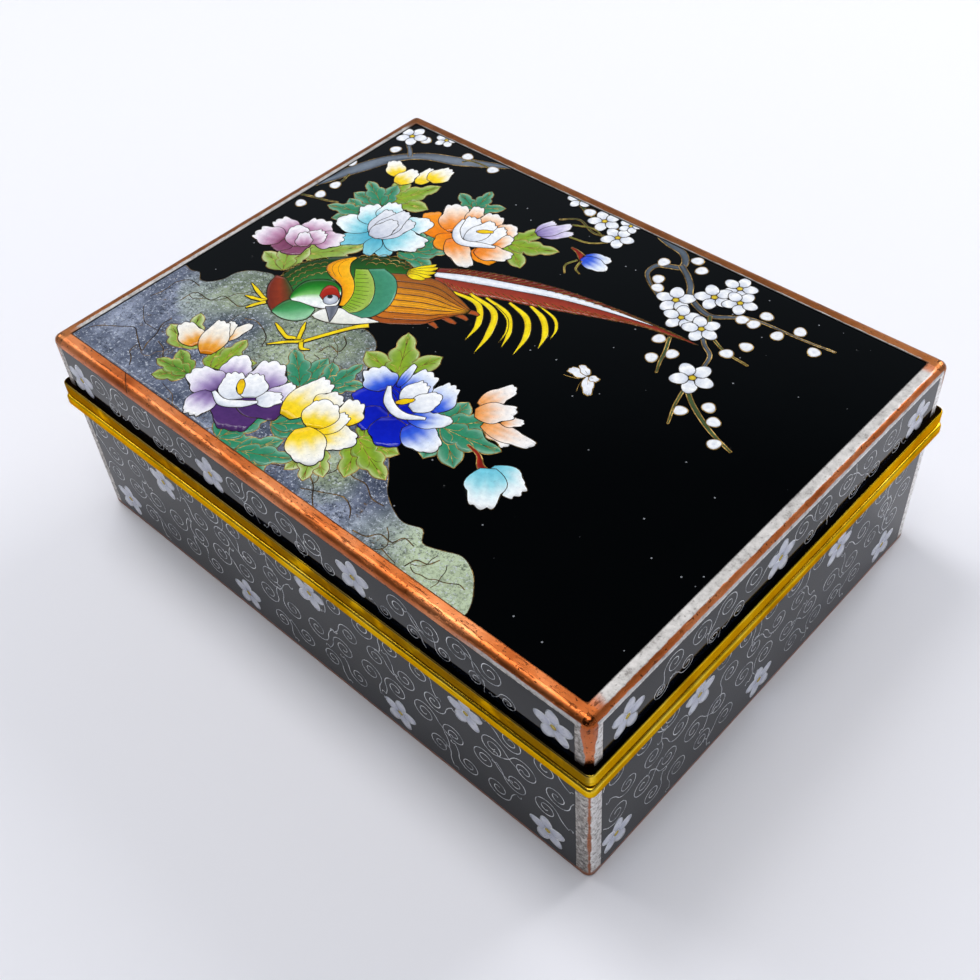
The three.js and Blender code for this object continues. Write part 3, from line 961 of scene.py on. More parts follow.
rock_cracks = [[(-59.9, -41.2), (-58.6, -39.5), (-55.5, -37.3), (-53.2, -35.8), (-51.2, -36.7),
                (-48.6, -38.1), (-46.8, -38.8), (-47.8, -36.8), (-48.4, -34.5), (-49.8, -32.0),
                (-49.8, -29.8)],
               [(-45.3, -42.7), (-46.8, -41.2), (-48.5, -40.2), (-48.9, -38.4)],
               [(-46.6, -35.4), (-44.3, -36.0), (-42.5, -37.4), (-40.2, -38.2)],
               [(-52.8, -25.6), (-52.4, -22.2), (-48.4, -22.0), (-47.3, -19.6), (-42.9, -19.8),
                (-41.6, -18.1)],
               [(-58.3, -28.4), (-57.6, -25.7), (-57.8, -22.7), (-56.2, -20.6), (-53.2, -20.6)],
               [(-39.2, -21.3), (-36.5, -20.5), (-32.3, -22.1), (-30.8, -24.4)],
               [(-21.7, -19.1), (-21.3, -16.6), (-19.0, -16.8), (-19.4, -14.5), (-21.3, -13.2)],
               [(-8.4, -42.9), (-5.3, -41.5), (-2.4, -39.7), (1.3, -40.9), (3.5, -43.0), (5.7, -44.7)],
               [(0.5, -42.9), (2.3, -42.0), (4.0, -41.2), (7.2, -39.8), (9.7, -40.6), (11.3, -42.2)],
               [(1.8, -34.4), (5.0, -35.8), (8.0, -35.6), (10.9, -37.1), (13.6, -37.0)],
               [(13.4, -43.6), (15.9, -43.1), (17.3, -41.4), (19.8, -41.4), (20.7, -39.6), (23.0, -39.8)],
               [(24.6, -43.5), (25.2, -41.5), (27.1, -40.9), (27.9, -39.2)]]


def add_rock():
    """The rock: between the floor and its contour v runs up, and u along. Its colour goes from blue-grey
    at the left and below to celadon in its upper part and at its right end, in soft waves."""
    motif = Motif("rock", layer=0)
    contour = smooth_line(rock_contour, 4)
    columns = 26
    v = np.linspace(0, 1, columns)[None, :]
    top = contour[:, 1][:, None]
    y = rock_floor_mm + (top - rock_floor_mm) * v
    x = np.broadcast_to(contour[:, 0][:, None], y.shape)
    xy = np.stack([x, y], -1)
    wave = np.sin(0.23 * x + 0.9 * np.sin(0.21 * y)) * np.cos(0.27 * y - 0.5 * np.sin(0.16 * x))
    fine = np.sin(0.9 * x + 1.3 * y) * np.sin(1.1 * y - 0.7 * x)
    greenness = np.zeros(x.shape)
    for place_x, place_y, reach in ((-45, -15, 8), (-33, -12, 8), (-26, -20, 9), (-20, -14, 6), (2, -37, 4)):
        near = np.exp(-((x - place_x) ** 2 + (y - place_y) ** 2) / reach ** 2)
        greenness = np.maximum(greenness, np.clip(1.5 * near + 0.3 * wave, 0, 1) * (near > 0.05))
    end = np.clip((x - 12 + 2 * wave) / 12, 0, 1)
    greenness = np.maximum(greenness, end)
    tone = np.clip(0.45 + 0.4 * wave + 0.25 * fine + 0.5 * end, 0, 1)
    motif.cell(xy, blend_colours(rock_blue(tone), rock_green(tone), greenness), width=0.2)
    # cracks: the long ones have their places, and short wavy ones wander over the rest
    for line in rock_cracks:
        motif.wire(smooth_line(line, 6), width=0.3)
    random = np.random.default_rng(5)
    for crack in range(short_cracks):
        x0 = random.uniform(-61, 36)
        limit = np.interp(x0, contour[:, 0], contour[:, 1])
        y0 = random.uniform(rock_floor_mm + 1, limit - 1.5)
        heading = random.uniform(-0.5, 0.9)
        line = [(x0, y0)]
        for stride in range(random.integers(7, 15)):
            heading += random.uniform(-0.9, 0.9)
            x0, y0 = x0 + crack_stride_mm * math.cos(heading), y0 + crack_stride_mm * math.sin(heading)
            limit = np.interp(x0, contour[:, 0], contour[:, 1])
            if y0 > limit - 0.5 or y0 < rock_floor_mm + 0.5 or x0 > 37:
                break
            line.append((x0, y0))
        if len(line) > 2:
            motif.wire(smooth_line(line, 4), width=random.uniform(0.16, 0.26))
    finish_motif(motif, rock_glaze, rock_wire)


def rock_glaze_material():
    """The rock's enamel: its own colour, with coarse dark grains, fine pale ones, and brown moss in
    patches."""
    material, tree, shader = new_material("speckled_rock_enamel", IOR=1.45)
    coordinates = object_place(tree)
    colour = node(tree, "ShaderNodeAttribute", attribute_name="glaze").outputs["Color"]
    patch = smoothstep(tree, grain(tree, coordinates, 7.0, 3), 0.42, 0.6)
    dark = smoothstep(tree, grain(tree, coordinates, 0.55, 4, 0.8), 0.46, 0.62)
    dark_share = plus(tree, 0.42, times(tree, patch, 0.40))
    colour = mix(tree, times(tree, dark, dark_share), colour, linear("#1d232e"))
    pale = smoothstep(tree, grain(tree, coordinates, 0.5, 3, 0.75), 0.54, 0.68)
    colour = mix(tree, times(tree, pale, 0.75), colour, linear("#cdd4e2"))
    moss = times(tree, smoothstep(tree, grain(tree, coordinates, 3.4, 3), 0.60, 0.70),
                  smoothstep(tree, grain(tree, coordinates, 0.6, 3, 0.7), 0.50, 0.60))
    colour = mix(tree, times(tree, moss, 0.8), colour, linear("#5e4620"))
    tree.links.new(colour, shader.inputs["Base Color"])
    shader.inputs["Roughness"].default_value = 0.12
    tree.links.new(bump(tree, grain(tree, coordinates, 1.2, 4, 0.7), 0.05), shader.inputs["Normal"])
    return material


rock_glaze = rock_glaze_material()
rock_wire = wire_material("browned_rock_wire", "#3f301a", "#8a6c38", "#1c140b")
add_rock()

# %% Branches, buds and blossoms
branch_grey = shades((0.0, "#2b323b"), (0.5, "#5d6875"), (1.0, "#343c46"))
cloud_grey = shades((0.0, "#3a424e"), (0.5, "#7d8896"), (1.0, "#454e5b"))
twig_green = shades((0.0, "#23301f"), (0.5, "#4a5f3a"), (1.0, "#2b3a24"))
bud_white = shades((0.0, "#9ea6b8"), (0.32, "#e2e6f0"), (0.75, "#ffffff"), (1.0, "#ccd2e0"))

branches = Motif("branches", layer=1)
# each stroke is a line, its widths in twelfths of a millimetre, and its tint
branch_strokes = [([(-33.4, 44.8), (-38.8, 42.0), (-44.1, 39.4), (-49.4, 37.3), (-52.9, 34.7),
                    (-55.8, 31.0), (-57.6, 26.9), (-59.3, 22.4), (-60.1, 18.7), (-61.1, 15.2)],
                   (12, 26, 36, 30, 26, 34, 40, 34, 22, 8), cloud_grey),
                  ([(-52.9, 34.7), (-54.8, 36.5), (-57.0, 38.0), (-58.5, 39.1)], (12, 10, 6), cloud_grey),
                  ([(-61.2, 11.3), (-58.5, 12.2), (-55.6, 13.0), (-52.7, 14.2)], (6, 5, 4), twig_green),
                  ([(-58.3, 22.4), (-57.6, 19.9), (-57.6, 18.1)], (5, 4), twig_green),
                  ([(-42.9, 39.9), (-41.9, 41.2), (-38.8, 41.7), (-36.2, 41.6)], (5, 4), twig_green),
                  ([(-17.5, 45.0), (-14.2, 43.4), (-10.2, 41.9), (-6.1, 41.6), (-1.8, 42.0)],
                   (6, 8, 6, 5), twig_green),
                  ([(-14.2, 37.1), (-11.0, 39.4), (-6.1, 37.8), (-1.8, 39.4)], (4, 5, 4), twig_green),
                  ([(4.3, 44.8), (7.2, 44.0), (10.5, 43.4), (12.6, 41.6), (13.1, 39.6), (11.0, 38.4),
                    (9.3, 37.3), (9.2, 34.7), (11.3, 32.6), (14.6, 30.6)],
                   (16, 18, 16, 15, 13, 9, 7), branch_grey),
                  ([(12.8, 40.1), (15.4, 38.4), (17.7, 36.3), (19.2, 34.2), (22.1, 32.4), (25.4, 31.7),
                    (28.2, 33.4), (30.9, 35.3), (34.9, 36.0), (41.1, 36.3), (47.6, 37.1)],
                   (14, 14, 13, 14, 11, 7, 5, 4), branch_grey),
                  ([(25.4, 31.7), (27.0, 29.4), (29.1, 27.3), (33.2, 25.5), (38.1, 25.0)], (8, 7, 5, 4),
                   twig_green),
                  ([(23.4, 22.7), (25.1, 19.1), (26.0, 16.5), (27.2, 14.0)], (7, 7, 4), twig_green),
                  ([(26.7, 27.5), (29.1, 24.9), (31.6, 23.1), (32.6, 19.8)], (9, 9, 8), branch_grey),
                  ([(33.1, 14.4), (36.5, 11.6), (40.8, 9.1), (44.0, 7.7), (47.8, 6.5)], (9, 10, 8, 5),
                   twig_green),
                  ([(33.4, 13.1), (34.5, 9.3), (36.2, 5.4)], (6, 5, 4), twig_green)]
for points, widths, tint in branch_strokes:
    add_stroke(branches, points, [w / 12 for w in widths], tint)
# the middle of each bud
bud_places = [(-43.3, 42.0), (-35.9, 41.6), (-57.2, 34.7), (-57.6, 17.9), (-57.6, 13.8), (-58.5, 9.3),
              (-11.0, 42.5), (14.4, 43.0), (16.7, 41.1), (9.7, 38.9), (12.0, 34.3), (13.4, 32.2),
              (33.2, 37.7), (30.4, 34.3), (32.6, 34.5), (37.5, 34.5), (40.0, 37.8), (44.7, 34.8),
              (35.1, 28.8), (33.5, 25.3), (22.2, 21.2), (26.4, 19.4), (24.2, 16.5), (39.1, 12.6),
              (41.7, 10.3), (35.9, 9.1), (44.7, 6.3), (-60.9, 25.5), (-54.5, 41.1)]
for k, (x, y) in enumerate(bud_places):
    branches.layer = 14
    add_bud(branches, (x, y), 1.25, bud_white, 30 * k)
finish_motif(branches, petal_glaze, gilt_wire)
plum = Motif("plum_blossoms", layer=15)
# the middle of each blossom and its radius
plum_places = [(-58.0, 40.4, 3.4), (-51.1, 43.7, 2.6), (-15.1, 44.5, 2.7), (-6.9, 42.0, 3.3),
                               (-1.6, 39.4, 3.3), (-2.0, 43.8, 2.4), (18.1, 31.4, 3.7), (23.0, 36.3, 3.6),
                               (27.5, 37.8, 3.3), (25.1, 41.1, 3.3), (21.8, 28.1, 3.4),
                               (26.4, 27.8, 3.5), (32.7, 16.7, 3.9)]
for k, (x, y, radius) in enumerate(plum_places):
    plum.layer = 15 + 7 * (k % 3)
    add_blossom(plum, (x, y), radius, 90 + 17 * k, bud_white)
finish_motif(plum, petal_glaze, petal_wire)

# %% Leaves
olive_leaf = shades((0.0, "#8fb02a"), (0.45, "#7fa232"), (1.0, "#bccb7c"))
pale_leaf = shades((0.0, "#86a83a"), (0.5, "#98b256"), (1.0, "#d0d8a0"))
deep_leaf = shades((0.0, "#4f8a2e"), (0.5, "#7a9f3c"), (1.0, "#a8bf6a"))
teal_leaf = shades((0.0, "#2a8a62"), (0.5, "#3f8d6d"), (1.0, "#84b89a"))
leaves = Motif("leaves", layer=2)
# foot, direction in degrees, length, tint, spread of the side blades in degrees, and pairs of them
leaf_places = [
        (-45.2, 20.6, 62, 9.5, olive_leaf, 44, 1), (-44.9, 18.7, 150, 8.0, teal_leaf, 34, 1),
        (-45.2, 14.9, 196, 7.5, teal_leaf, 30, 1), (-45.2, -1.8, 50, 10.5, pale_leaf, 20, 1),
        (-44.7, -7.4, 128, 8.2, pale_leaf, 34, 1), (-29.6, 29.1, 98, 6.4, teal_leaf, 58, 1),
        (-31.3, 10.0, 42, 9.0, teal_leaf, 40, 1), (-28.6, 12.7, 92, 7.0, teal_leaf, 36, 1),
        (-16.9, 25.0, 22, 8.4, olive_leaf, 50, 1), (-6.1, -15.4, 122, 10.5, olive_leaf, 44, 1),
        (0.7, -28.8, 98, 6.6, olive_leaf, 34, 1), (-0.5, -29.3, -22, 9.0, olive_leaf, 30, 1),
        (-4.3, -34.9, -62, 7.2, pale_leaf, 26, 1), (-32.9, -34.1, 96, 8.0, olive_leaf, 40, 1),
        (-35.1, -37.4, 186, 7.2, deep_leaf, 34, 1), (-14.4, -36.2, 40, 8.4, teal_leaf, 30, 1),
        (-18.7, -44.1, 76, 8.6, teal_leaf, 46, 1), (-14.2, -44.1, 26, 8.6, teal_leaf, 26, 1),
        (-17.5, -27.1, 142, 8.6, teal_leaf, 40, 1), (-13.8, -24.4, 84, 7.0, teal_leaf, 40, 1),
        (8.0, -18.7, 8, 10.5, teal_leaf, 36, 2), (-41.9, -33.7, 118, 8.0, pale_leaf, 40, 1)]
for k, (x, y, angle, length, tint, spread, pairs) in enumerate(leaf_places):
    leaves.layer = 2 + 5 * (k % 3)
    add_leaf(leaves, (x, y), angle, 1.12 * length, tint, spread, pairs, seed=30 + k)
finish_motif(leaves, petal_glaze, gilt_wire)

# %% Tints of the peonies, from base to tip
orange_deep = shades((0.0, "#f27c04"), (1.0, "#fb9a18"))
orange_pale = shades((0.0, "#f47c06"), (0.36, "#f8983c"), (0.68, "#fbdcc0"), (1.0, "#ffffff"))
aqua_deep = shades((0.0, "#3fa9c6"), (1.0, "#8fd6e2"))
aqua_pale = shades((0.0, "#5fc0d6"), (0.4, "#9bdce8"), (0.75, "#eefafc"), (1.0, "#ffffff"))
mauve_deep = shades((0.0, "#6e2f50"), (1.0, "#8f5272"))
mauve_pale = shades((0.0, "#8f4a6c"), (0.4, "#c493b4"), (0.75, "#f0e2ee"), (1.0, "#ffffff"))
purple_deep = shades((0.0, "#452a66"), (1.0, "#553370"))
purple_pale = shades((0.0, "#5a3a78"), (0.35, "#a48dc0"), (0.7, "#efeaf5"), (1.0, "#ffffff"))
cobalt_deep = shades((0.0, "#0616a8"), (1.0, "#0c22c4"))
blue_pale = shades((0.0, "#0f2fc8"), (0.35, "#3f6ae0"), (0.7, "#dbe6fb"), (1.0, "#ffffff"))
yellow_pale = shades((0.0, "#ffd000"), (0.35, "#ffe030"), (0.62, "#fff8dc"), (1.0, "#ffffff"))
peach_pale = shades((0.0, "#f0912c"), (0.3, "#f6b884"), (0.65, "#fbeee4"), (1.0, "#ffffff"))
cream_pale = shades((0.0, "#e07f08"), (0.3, "#f0a838"), (0.55, "#f8ead4"), (1.0, "#fbfaf6"))
cup_white = shades((0.0, "#d3dae6"), (0.5, "#f4f6fa"), (1.0, "#ffffff"))
cup_grey = shades((0.0, "#c3c8d8"), (0.6, "#dde0ea"), (1.0, "#eceef4"))
gold_heart = shades((0.0, "#e0a800"), (0.5, "#f5cf12"), (1.0, "#f2c200"))
lilac_pale = shades((0.0, "#7a68a8"), (0.5, "#c2b4de"), (1.0, "#f4f0fa"))
red_calyx = shades((0.0, "#b02a1c"), (0.5, "#8a2016"), (1.0, "#6e1a12"))
leaf_line = shades((0.0, "#4a5a2a"), (0.5, "#7d9440"), (1.0, "#4a5a2a"))
smooth_tints = (purple_deep, cobalt_deep, orange_deep, mauve_deep, aqua_deep)


def lay_petals(motif, groups, seed):
    """Lays petals one over the other. A group is a tint with its petals, each given by its base, its tip
    and the width across its broadest part, near the tip. The deep petals behind a flower are smooth."""
    random = np.random.default_rng(seed)
    for tint, petals in groups:
        ruffle = 0.03 if tint in smooth_tints else 0.11
        for x, y, tip_x, tip_y, width in petals:
            add_petal(motif, (x, y), (tip_x, tip_y), width, tint, ruffle,
                      random.choice([2.0, 3.0, 3.0, 4.0]), random.uniform(-0.5, 0.5), longer=1.06)

# %% Peonies
# petals from the lowest to the highest, grouped by tint: x and y of the base, x and y of the tip, width
flower_petals = {
    "purple_peony": [
        (purple_deep, [(-24.9, -32.9, -18.7, -41.5, 10.0), (-24.1, -35.3, -14.9, -33.7, 7.1),
                       (-27.3, -34.9, -28.0, -39.2, 6.7)]),
        (purple_pale, [(-28.0, -34.1, -31.0, -28.5, 6.0), (-22.0, -32.0, -25.5, -26.1, 8.0),
                       (-19.2, -33.7, -18.2, -27.9, 4.8), (-28.0, -36.7, -34.7, -36.2, 7.2),
                       (-28.6, -37.8, -26.9, -43.6, 5.8)]),
        (cup_white, [(-20.6, -34.3, -17.7, -31.0, 4.3), (-23.6, -36.4, -28.7, -32.3, 6.0),
                     (-22.0, -34.5, -25.5, -30.2, 5.8)]),
        (gold_heart, [(-26.7, -32.3, -24.2, -34.9, 1.5)])],
    "blue_peony": [
        (cobalt_deep, [(-3.6, -20.6, -8.4, -15.6, 6.4), (-7.0, -18.5, 1.5, -23.5, 7.0),
                       (-0.7, -21.4, -8.7, -21.2, 6.8), (-2.1, -21.8, -2.6, -27.1, 5.8),
                       (-0.2, -22.6, 4.4, -27.5, 7.0), (-0.7, -18.5, 4.6, -21.0, 5.0)]),
        (blue_pale, [(3.6, -22.0, 10.7, -23.3, 6.3), (2.5, -20.7, 8.5, -17.2, 4.2),
                     (3.9, -17.4, 3.1, -10.7, 6.3), (-1.8, -16.9, -2.0, -10.5, 6.5),
                     (-4.3, -16.5, -5.9, -10.7, 1.8), (-5.4, -18.2, -10.8, -15.9, 6.7)]),
        (cup_white, [(-1.1, -18.5, -1.0, -13.0, 4.7), (1.3, -19.0, 2.9, -13.8, 4.7)]),
        (gold_heart, [(-1.8, -19.5, 0.2, -17.1, 1.4)])],
    "yellow_peony": [
        (yellow_pale, [(-13.8, -33.7, -14.4, -23.3, 7.0), (-11.0, -29.2, -10.0, -24.6, 6.3),
                       (-4.7, -28.8, -7.0, -23.6, 5.8), (-6.9, -32.6, -0.5, -30.8, 6.5),
                       (-6.9, -32.9, -5.7, -26.9, 4.3), (-8.0, -32.5, -10.8, -26.6, 6.7),
                       (-9.5, -33.7, -2.5, -38.2, 7.0)])],
    "orange_peony": [
        (orange_deep, [(-28.2, 18.7, -35.2, 23.2, 6.7), (-26.5, 20.8, -26.5, 16.0, 5.8),
                       (-20.8, 19.5, -14.9, 18.7, 3.8)]),
        (orange_pale, [(-27.3, 21.6, -32.9, 28.0, 7.3), (-26.4, 24.9, -29.1, 30.3, 4.0),
                       (-23.3, 25.5, -24.6, 30.3, 6.5), (-20.4, 25.5, -18.7, 29.6, 5.2),
                       (-19.6, 22.7, -17.0, 26.5, 4.3), (-20.4, 19.9, -13.8, 21.9, 5.2),
                       (-26.5, 19.5, -18.5, 15.2, 5.2)]),
        (cup_white, [(-23.9, 20.4, -27.3, 27.1, 5.5), (-22.6, 20.4, -20.0, 27.5, 5.3),
                     (-23.6, 20.8, -23.1, 28.0, 4.8)]),
        (gold_heart, [(-24.1, 24.2, -21.4, 26.0, 1.3)])],
    "turquoise_peony": [
        (aqua_deep, [(-39.1, 11.3, -43.3, 5.4, 5.3), (-37.3, 10.9, -32.7, 8.0, 5.3),
                     (-37.8, 10.9, -35.7, 6.0, 3.8)]),
        (aqua_pale, [(-40.9, 11.8, -48.1, 10.9, 6.3), (-41.3, 13.8, -46.8, 17.3, 6.5),
                     (-40.3, 15.8, -43.2, 20.6, 6.0), (-36.8, 15.4, -32.9, 20.3, 6.3),
                     (-36.8, 12.2, -29.3, 14.2, 7.7)]),
        (cup_grey, [(-38.8, 10.9, -41.9, 18.1, 5.3), (-38.3, 10.9, -35.9, 18.1, 5.2),
                    (-38.6, 10.5, -39.0, 19.5, 5.5), (-38.8, 10.3, -38.8, 16.3, 5.0)])],
    "mauve_peony": [
        (mauve_deep, [(-50.3, 1.1, -47.4, -3.1, 7.0), (-51.1, -0.1, -51.1, -4.0, 5.0)]),
        (mauve_pale, [(-48.6, 3.2, -50.4, 8.2, 7.2), (-47.0, 2.8, -42.6, 5.9, 6.2),
                      (-51.9, 1.5, -57.6, 2.9, 5.5), (-51.9, -1.3, -58.0, -2.3, 6.5),
                      (-47.8, -0.5, -52.6, 3.6, 5.5), (-47.6, 1.1, -47.3, 5.5, 5.0),
                      (-47.0, -0.1, -50.1, 2.8, 3.7)])],
    "peach_peony": [
        (peach_pale, [(14.0, -14.2, 19.4, -15.2, 3.2), (13.0, -13.9, 22.4, -12.6, 4.0),
                      (14.9, -11.5, 17.9, -9.6, 2.8), (9.6, -11.0, 11.4, -4.4, 4.4),
                      (10.2, -12.8, 15.4, -8.6, 5.4)])],
    "aqua_bud": [
        (aqua_pale, [(20.8, -20.8, 27.7, -21.6, 7.0), (20.6, -20.7, 25.2, -27.2, 7.3)])],
    "cream_buds": [
        (cream_pale, [(-38.0, -28.4, -36.8, -22.2, 3.2), (-38.2, -28.8, -39.6, -23.4, 3.4),
                      (-40.2, -31.6, -46.4, -29.4, 5.2), (-37.0, -32.2, -41.2, -24.6, 5.6)])],
    "yellow_buds": [
        (yellow_pale, [(-49.8, 28.0, -54.2, 31.4, 4.5), (-44.4, 28.5, -45.7, 33.9, 3.8),
                       (-48.0, 26.0, -48.0, 31.4, 4.8), (-43.2, 30.7, -42.7, 36.0, 5.2)])],
    "lilac_bud": [
        (lilac_pale, [(-14.6, 30.9, -14.2, 35.7, 3.0), (-13.8, 30.9, -9.3, 34.7, 3.0),
                      (-14.4, 30.7, -11.0, 36.5, 3.3)])],
    "blue_bud": [
        (blue_pale, [(-2.9, 30.6, 1.8, 32.6, 3.8), (-2.9, 30.6, 2.6, 30.1, 3.7)])],
}
# the rolled front edge of a flower's cup: a stroke over its petals, with its width and tint
lips = {
    "purple_peony": ([(-28.2, -37.4), (-24.9, -38.2), (-22.0, -36.4), (-20.1, -34.3)], 1.8, cup_white),
    "blue_peony": ([(-5.6, -17.2), (-2.9, -20.0), (1.0, -21.0), (4.9, -19.0)], 1.8, cup_white),
    "orange_peony": ([(-28.7, 25.5), (-27.3, 21.9), (-24.1, 19.9), (-20.0, 21.7), (-17.8, 22.7)],
                     1.7, cup_white),
}
# the yellow peony lies over its neighbours, and the peach one under them
layers = {"yellow_peony": 30, "peach_peony": 16}
for seed, (name, groups) in enumerate(flower_petals.items()):
    flower = Motif(name, layer=layers.get(name, 18))
    lay_petals(flower, groups, seed)
    if name in lips:
        points, width, tint = lips[name]
        add_stroke(flower, points, (0.4 * width, width, width, 0.35 * width), tint)
    finish_motif(flower, petal_glaze, petal_wire)

# %% Stems
stems = Motif("stems", layer=17)
add_stroke(stems, [(14.4, -18.9), (17.3, -19.5), (19.5, -21.2), (21.9, -21.0)], (0.4, 0.7, 1.3, 0.7),
           red_calyx)
add_stroke(stems, [(-6.5, 31.7), (-4.7, 31.4), (-2.5, 30.4)], (0.4, 0.8, 1.7), red_calyx)
for points in ([(-2.4, 29.6), (-1.8, 27.3), (-0.3, 26.5)], [(-3.2, 29.4), (-4.0, 26.9), (-2.6, 25.0)],
               [(-11.0, 37.3), (-6.9, 38.8), (-2.6, 37.3)], [(-9.0, 34.0), (-5.1, 34.7), (-2.1, 37.0)]):
    add_stroke(stems, points, (0.4, 0.3, 0.2), leaf_line)
finish_motif(stems, petal_glaze, gilt_wire)

# %% [markdown]
# ## The bird
# A long-tailed pheasant of no particular kind stands on the rock. Its body is patches that overlap like
# tiles, tail first and head last, each laid between two smooth edges.

# %% Bird
tail_red = shades((0.0, "#6e221a"), (0.5, "#8a2f22"), (1.0, "#b0452e"))
stripe_white = shades((0.0, "#d9dde8"), (0.5, "#fafbff"), (1.0, "#d9dde8"))
plume_yellow = shades((0.0, "#e6c004"), (0.5, "#ffea1c"), (1.0, "#f0cc08"))
dark_green = shades((0.0, "#12300e"), (0.5, "#1f5a1c"), (1.0, "#2f7a3a"))
finger_rust = shades((0.0, "#8f3e18"), (0.5, "#b8561e"), (1.0, "#8f3e18"))
belly_green = shades((0.0, "#7fae1c"), (0.5, "#94b83a"), (1.0, "#a8c05a"))
cape_orange = shades((0.0, "#e08c0c"), (0.4, "#ffae04"), (1.0, "#ffbe1c"))
teal_band = shades((0.0, "#3f8a62"), (0.5, "#3f8d6d"), (1.0, "#4a9a7a"))
cheek_white = shades((0.0, "#fbfbf6"), (1.0, "#e8e8dc"))

bird = Motif("bird", layer=4)
scales = Motif("bird_scales", layer=30)


def add_patch(left, right, colours, rows, columns):
    """A patch of the bird between two edges, its colour running from the left one to the right one."""
    xy, u, v = patch_grid(left, right, rows, columns)
    bird.cell(xy, colours(0.5 + 0.5 * v))
    return xy


# tail: a long red-brown train with a white stripe, and barbs of wire
tail = add_patch([(-22.1, 11.3), (-17.5, 14.4), (-11.0, 17.5), (-2.8, 20.3), (5.4, 22.1), (15.2, 23.4),
                  (23.4, 24.0), (28.5, 24.1)],
                 [(-20.0, 8.5), (-14.2, 8.3), (-7.7, 11.3), (0.5, 14.5), (8.7, 18.1), (16.9, 21.4),
                  (23.4, 22.9), (28.5, 24.0)],
                 tail_red, rows=40, columns=9)
for k in range(2, 36):
    scales.wire([tail[k, 6], tail[min(k + 2, 39), 8]], width=0.11)
    scales.wire([tail[k, 2], tail[min(k + 2, 39), 0]], width=0.11)
add_patch([(-21.8, 10.0), (-15.9, 13.4), (-7.7, 16.8), (0.5, 19.9), (8.7, 21.9), (19.3, 23.4)],
          [(-20.6, 9.1), (-14.2, 11.9), (-6.1, 15.4), (2.1, 18.7), (10.3, 21.1), (19.3, 23.2)],
          stripe_white, rows=28, columns=5)
# yellow plumes that curve down from under the tail, with their widths in twelfths of a millimetre
for start, middle, low, tip, width in (
        ((-15.1, 8.0), (-9.0, 8.3), (-5.1, 4.4), (-3.8, -0.4), 15),
        ((-12.1, 9.6), (-5.2, 8.5), (-1.8, 3.6), (-0.2, -2.0), 16),
        ((-9.0, 10.6), (-2.9, 9.6), (0.8, 6.0), (2.5, 2.1), 13),
        ((-4.7, 12.2), (0.5, 10.9), (3.8, 7.2), (5.4, 1.9), 15),
        ((-1.1, 13.9), (2.9, 12.6), (6.1, 9.6), (7.7, 5.9), 15),
        ((-0.3, 14.9), (4.3, 14.0), (6.7, 11.9), (7.7, 9.1), 8),
        ((-6.1, 10.0), (-2.1, 8.6), (0.2, 6.0), (1.3, 2.8), 5)):
    add_stroke(bird, [start, middle, low, tip], (0.5 * width / 12, width / 12, width / 12, 0.12),
               plume_yellow)
# back, with rows of scales
add_patch([(-42.8, -10.6), (-43.8, -7.8), (-44.0, -5.5), (-43.1, -2.6), (-40.7, 0.7), (-36.8, 4.1),
           (-32.2, 7.9), (-27.8, 9.1), (-25.1, 7.5)],
          [(-36.9, -13.7), (-37.4, -11.8), (-38.0, -9.2), (-37.6, -6.4), (-34.5, -4.0), (-31.4, -1.5),
           (-29.1, 1.6), (-26.3, 3.8), (-24.5, 6.6)],
          dark_green, rows=24, columns=9)


def add_scales(rows):
    """Rows of small arcs of wire. Each row is a smooth line with the number of its scales, and every
    arc bulges to the left of the line."""
    arc = np.linspace(0, np.pi, 9)
    for points, count in rows:
        line = smooth_line(points, 8)
        places = np.linspace(0, 1, count + 1) * (len(line) - 1)
        ends = np.stack([np.interp(places, np.arange(len(line)), line[:, k]) for k in (0, 1)], -1)
        for start, end in zip(ends[:-1], ends[1:]):
            middle, half = (start + end) / 2, (end - start) / 2
            right = np.array([half[1], -half[0]])
            bulge = 0.9 * right * np.sin(arc)[:, None]
            scales.wire(middle - half * np.cos(arc)[:, None] - bulge, width=0.20)


add_scales((([(-42.9, -9.8), (-43.4, -6.2), (-42.6, -3.0), (-40.3, 0.2)], 8),
            ([(-41.2, -10.5), (-41.9, -7.1), (-41.4, -3.8), (-39.3, -0.7)], 8),
            ([(-39.5, -11.2), (-40.5, -7.8), (-40.2, -4.6), (-38.4, -1.7)], 7),
            ([(-38.2, -11.5), (-39.2, -8.3), (-38.9, -5.4), (-36.7, -2.5)], 7),
            ([(-35.9, 4.0), (-33.1, 6.6), (-29.4, 8.5), (-26.8, 8.6)], 6),
            ([(-34.7, 3.7), (-32.0, 6.0), (-28.6, 7.7), (-25.9, 7.9)], 6),
            ([(-33.2, 3.4), (-30.8, 5.4), (-27.7, 6.8), (-25.1, 7.3)], 5),
            ([(-41.3, -11.9), (-39.3, -12.7), (-37.2, -14.0)], 4),
            ([(-40.1, -11.3), (-38.5, -12.0), (-36.7, -13.2)], 4)))

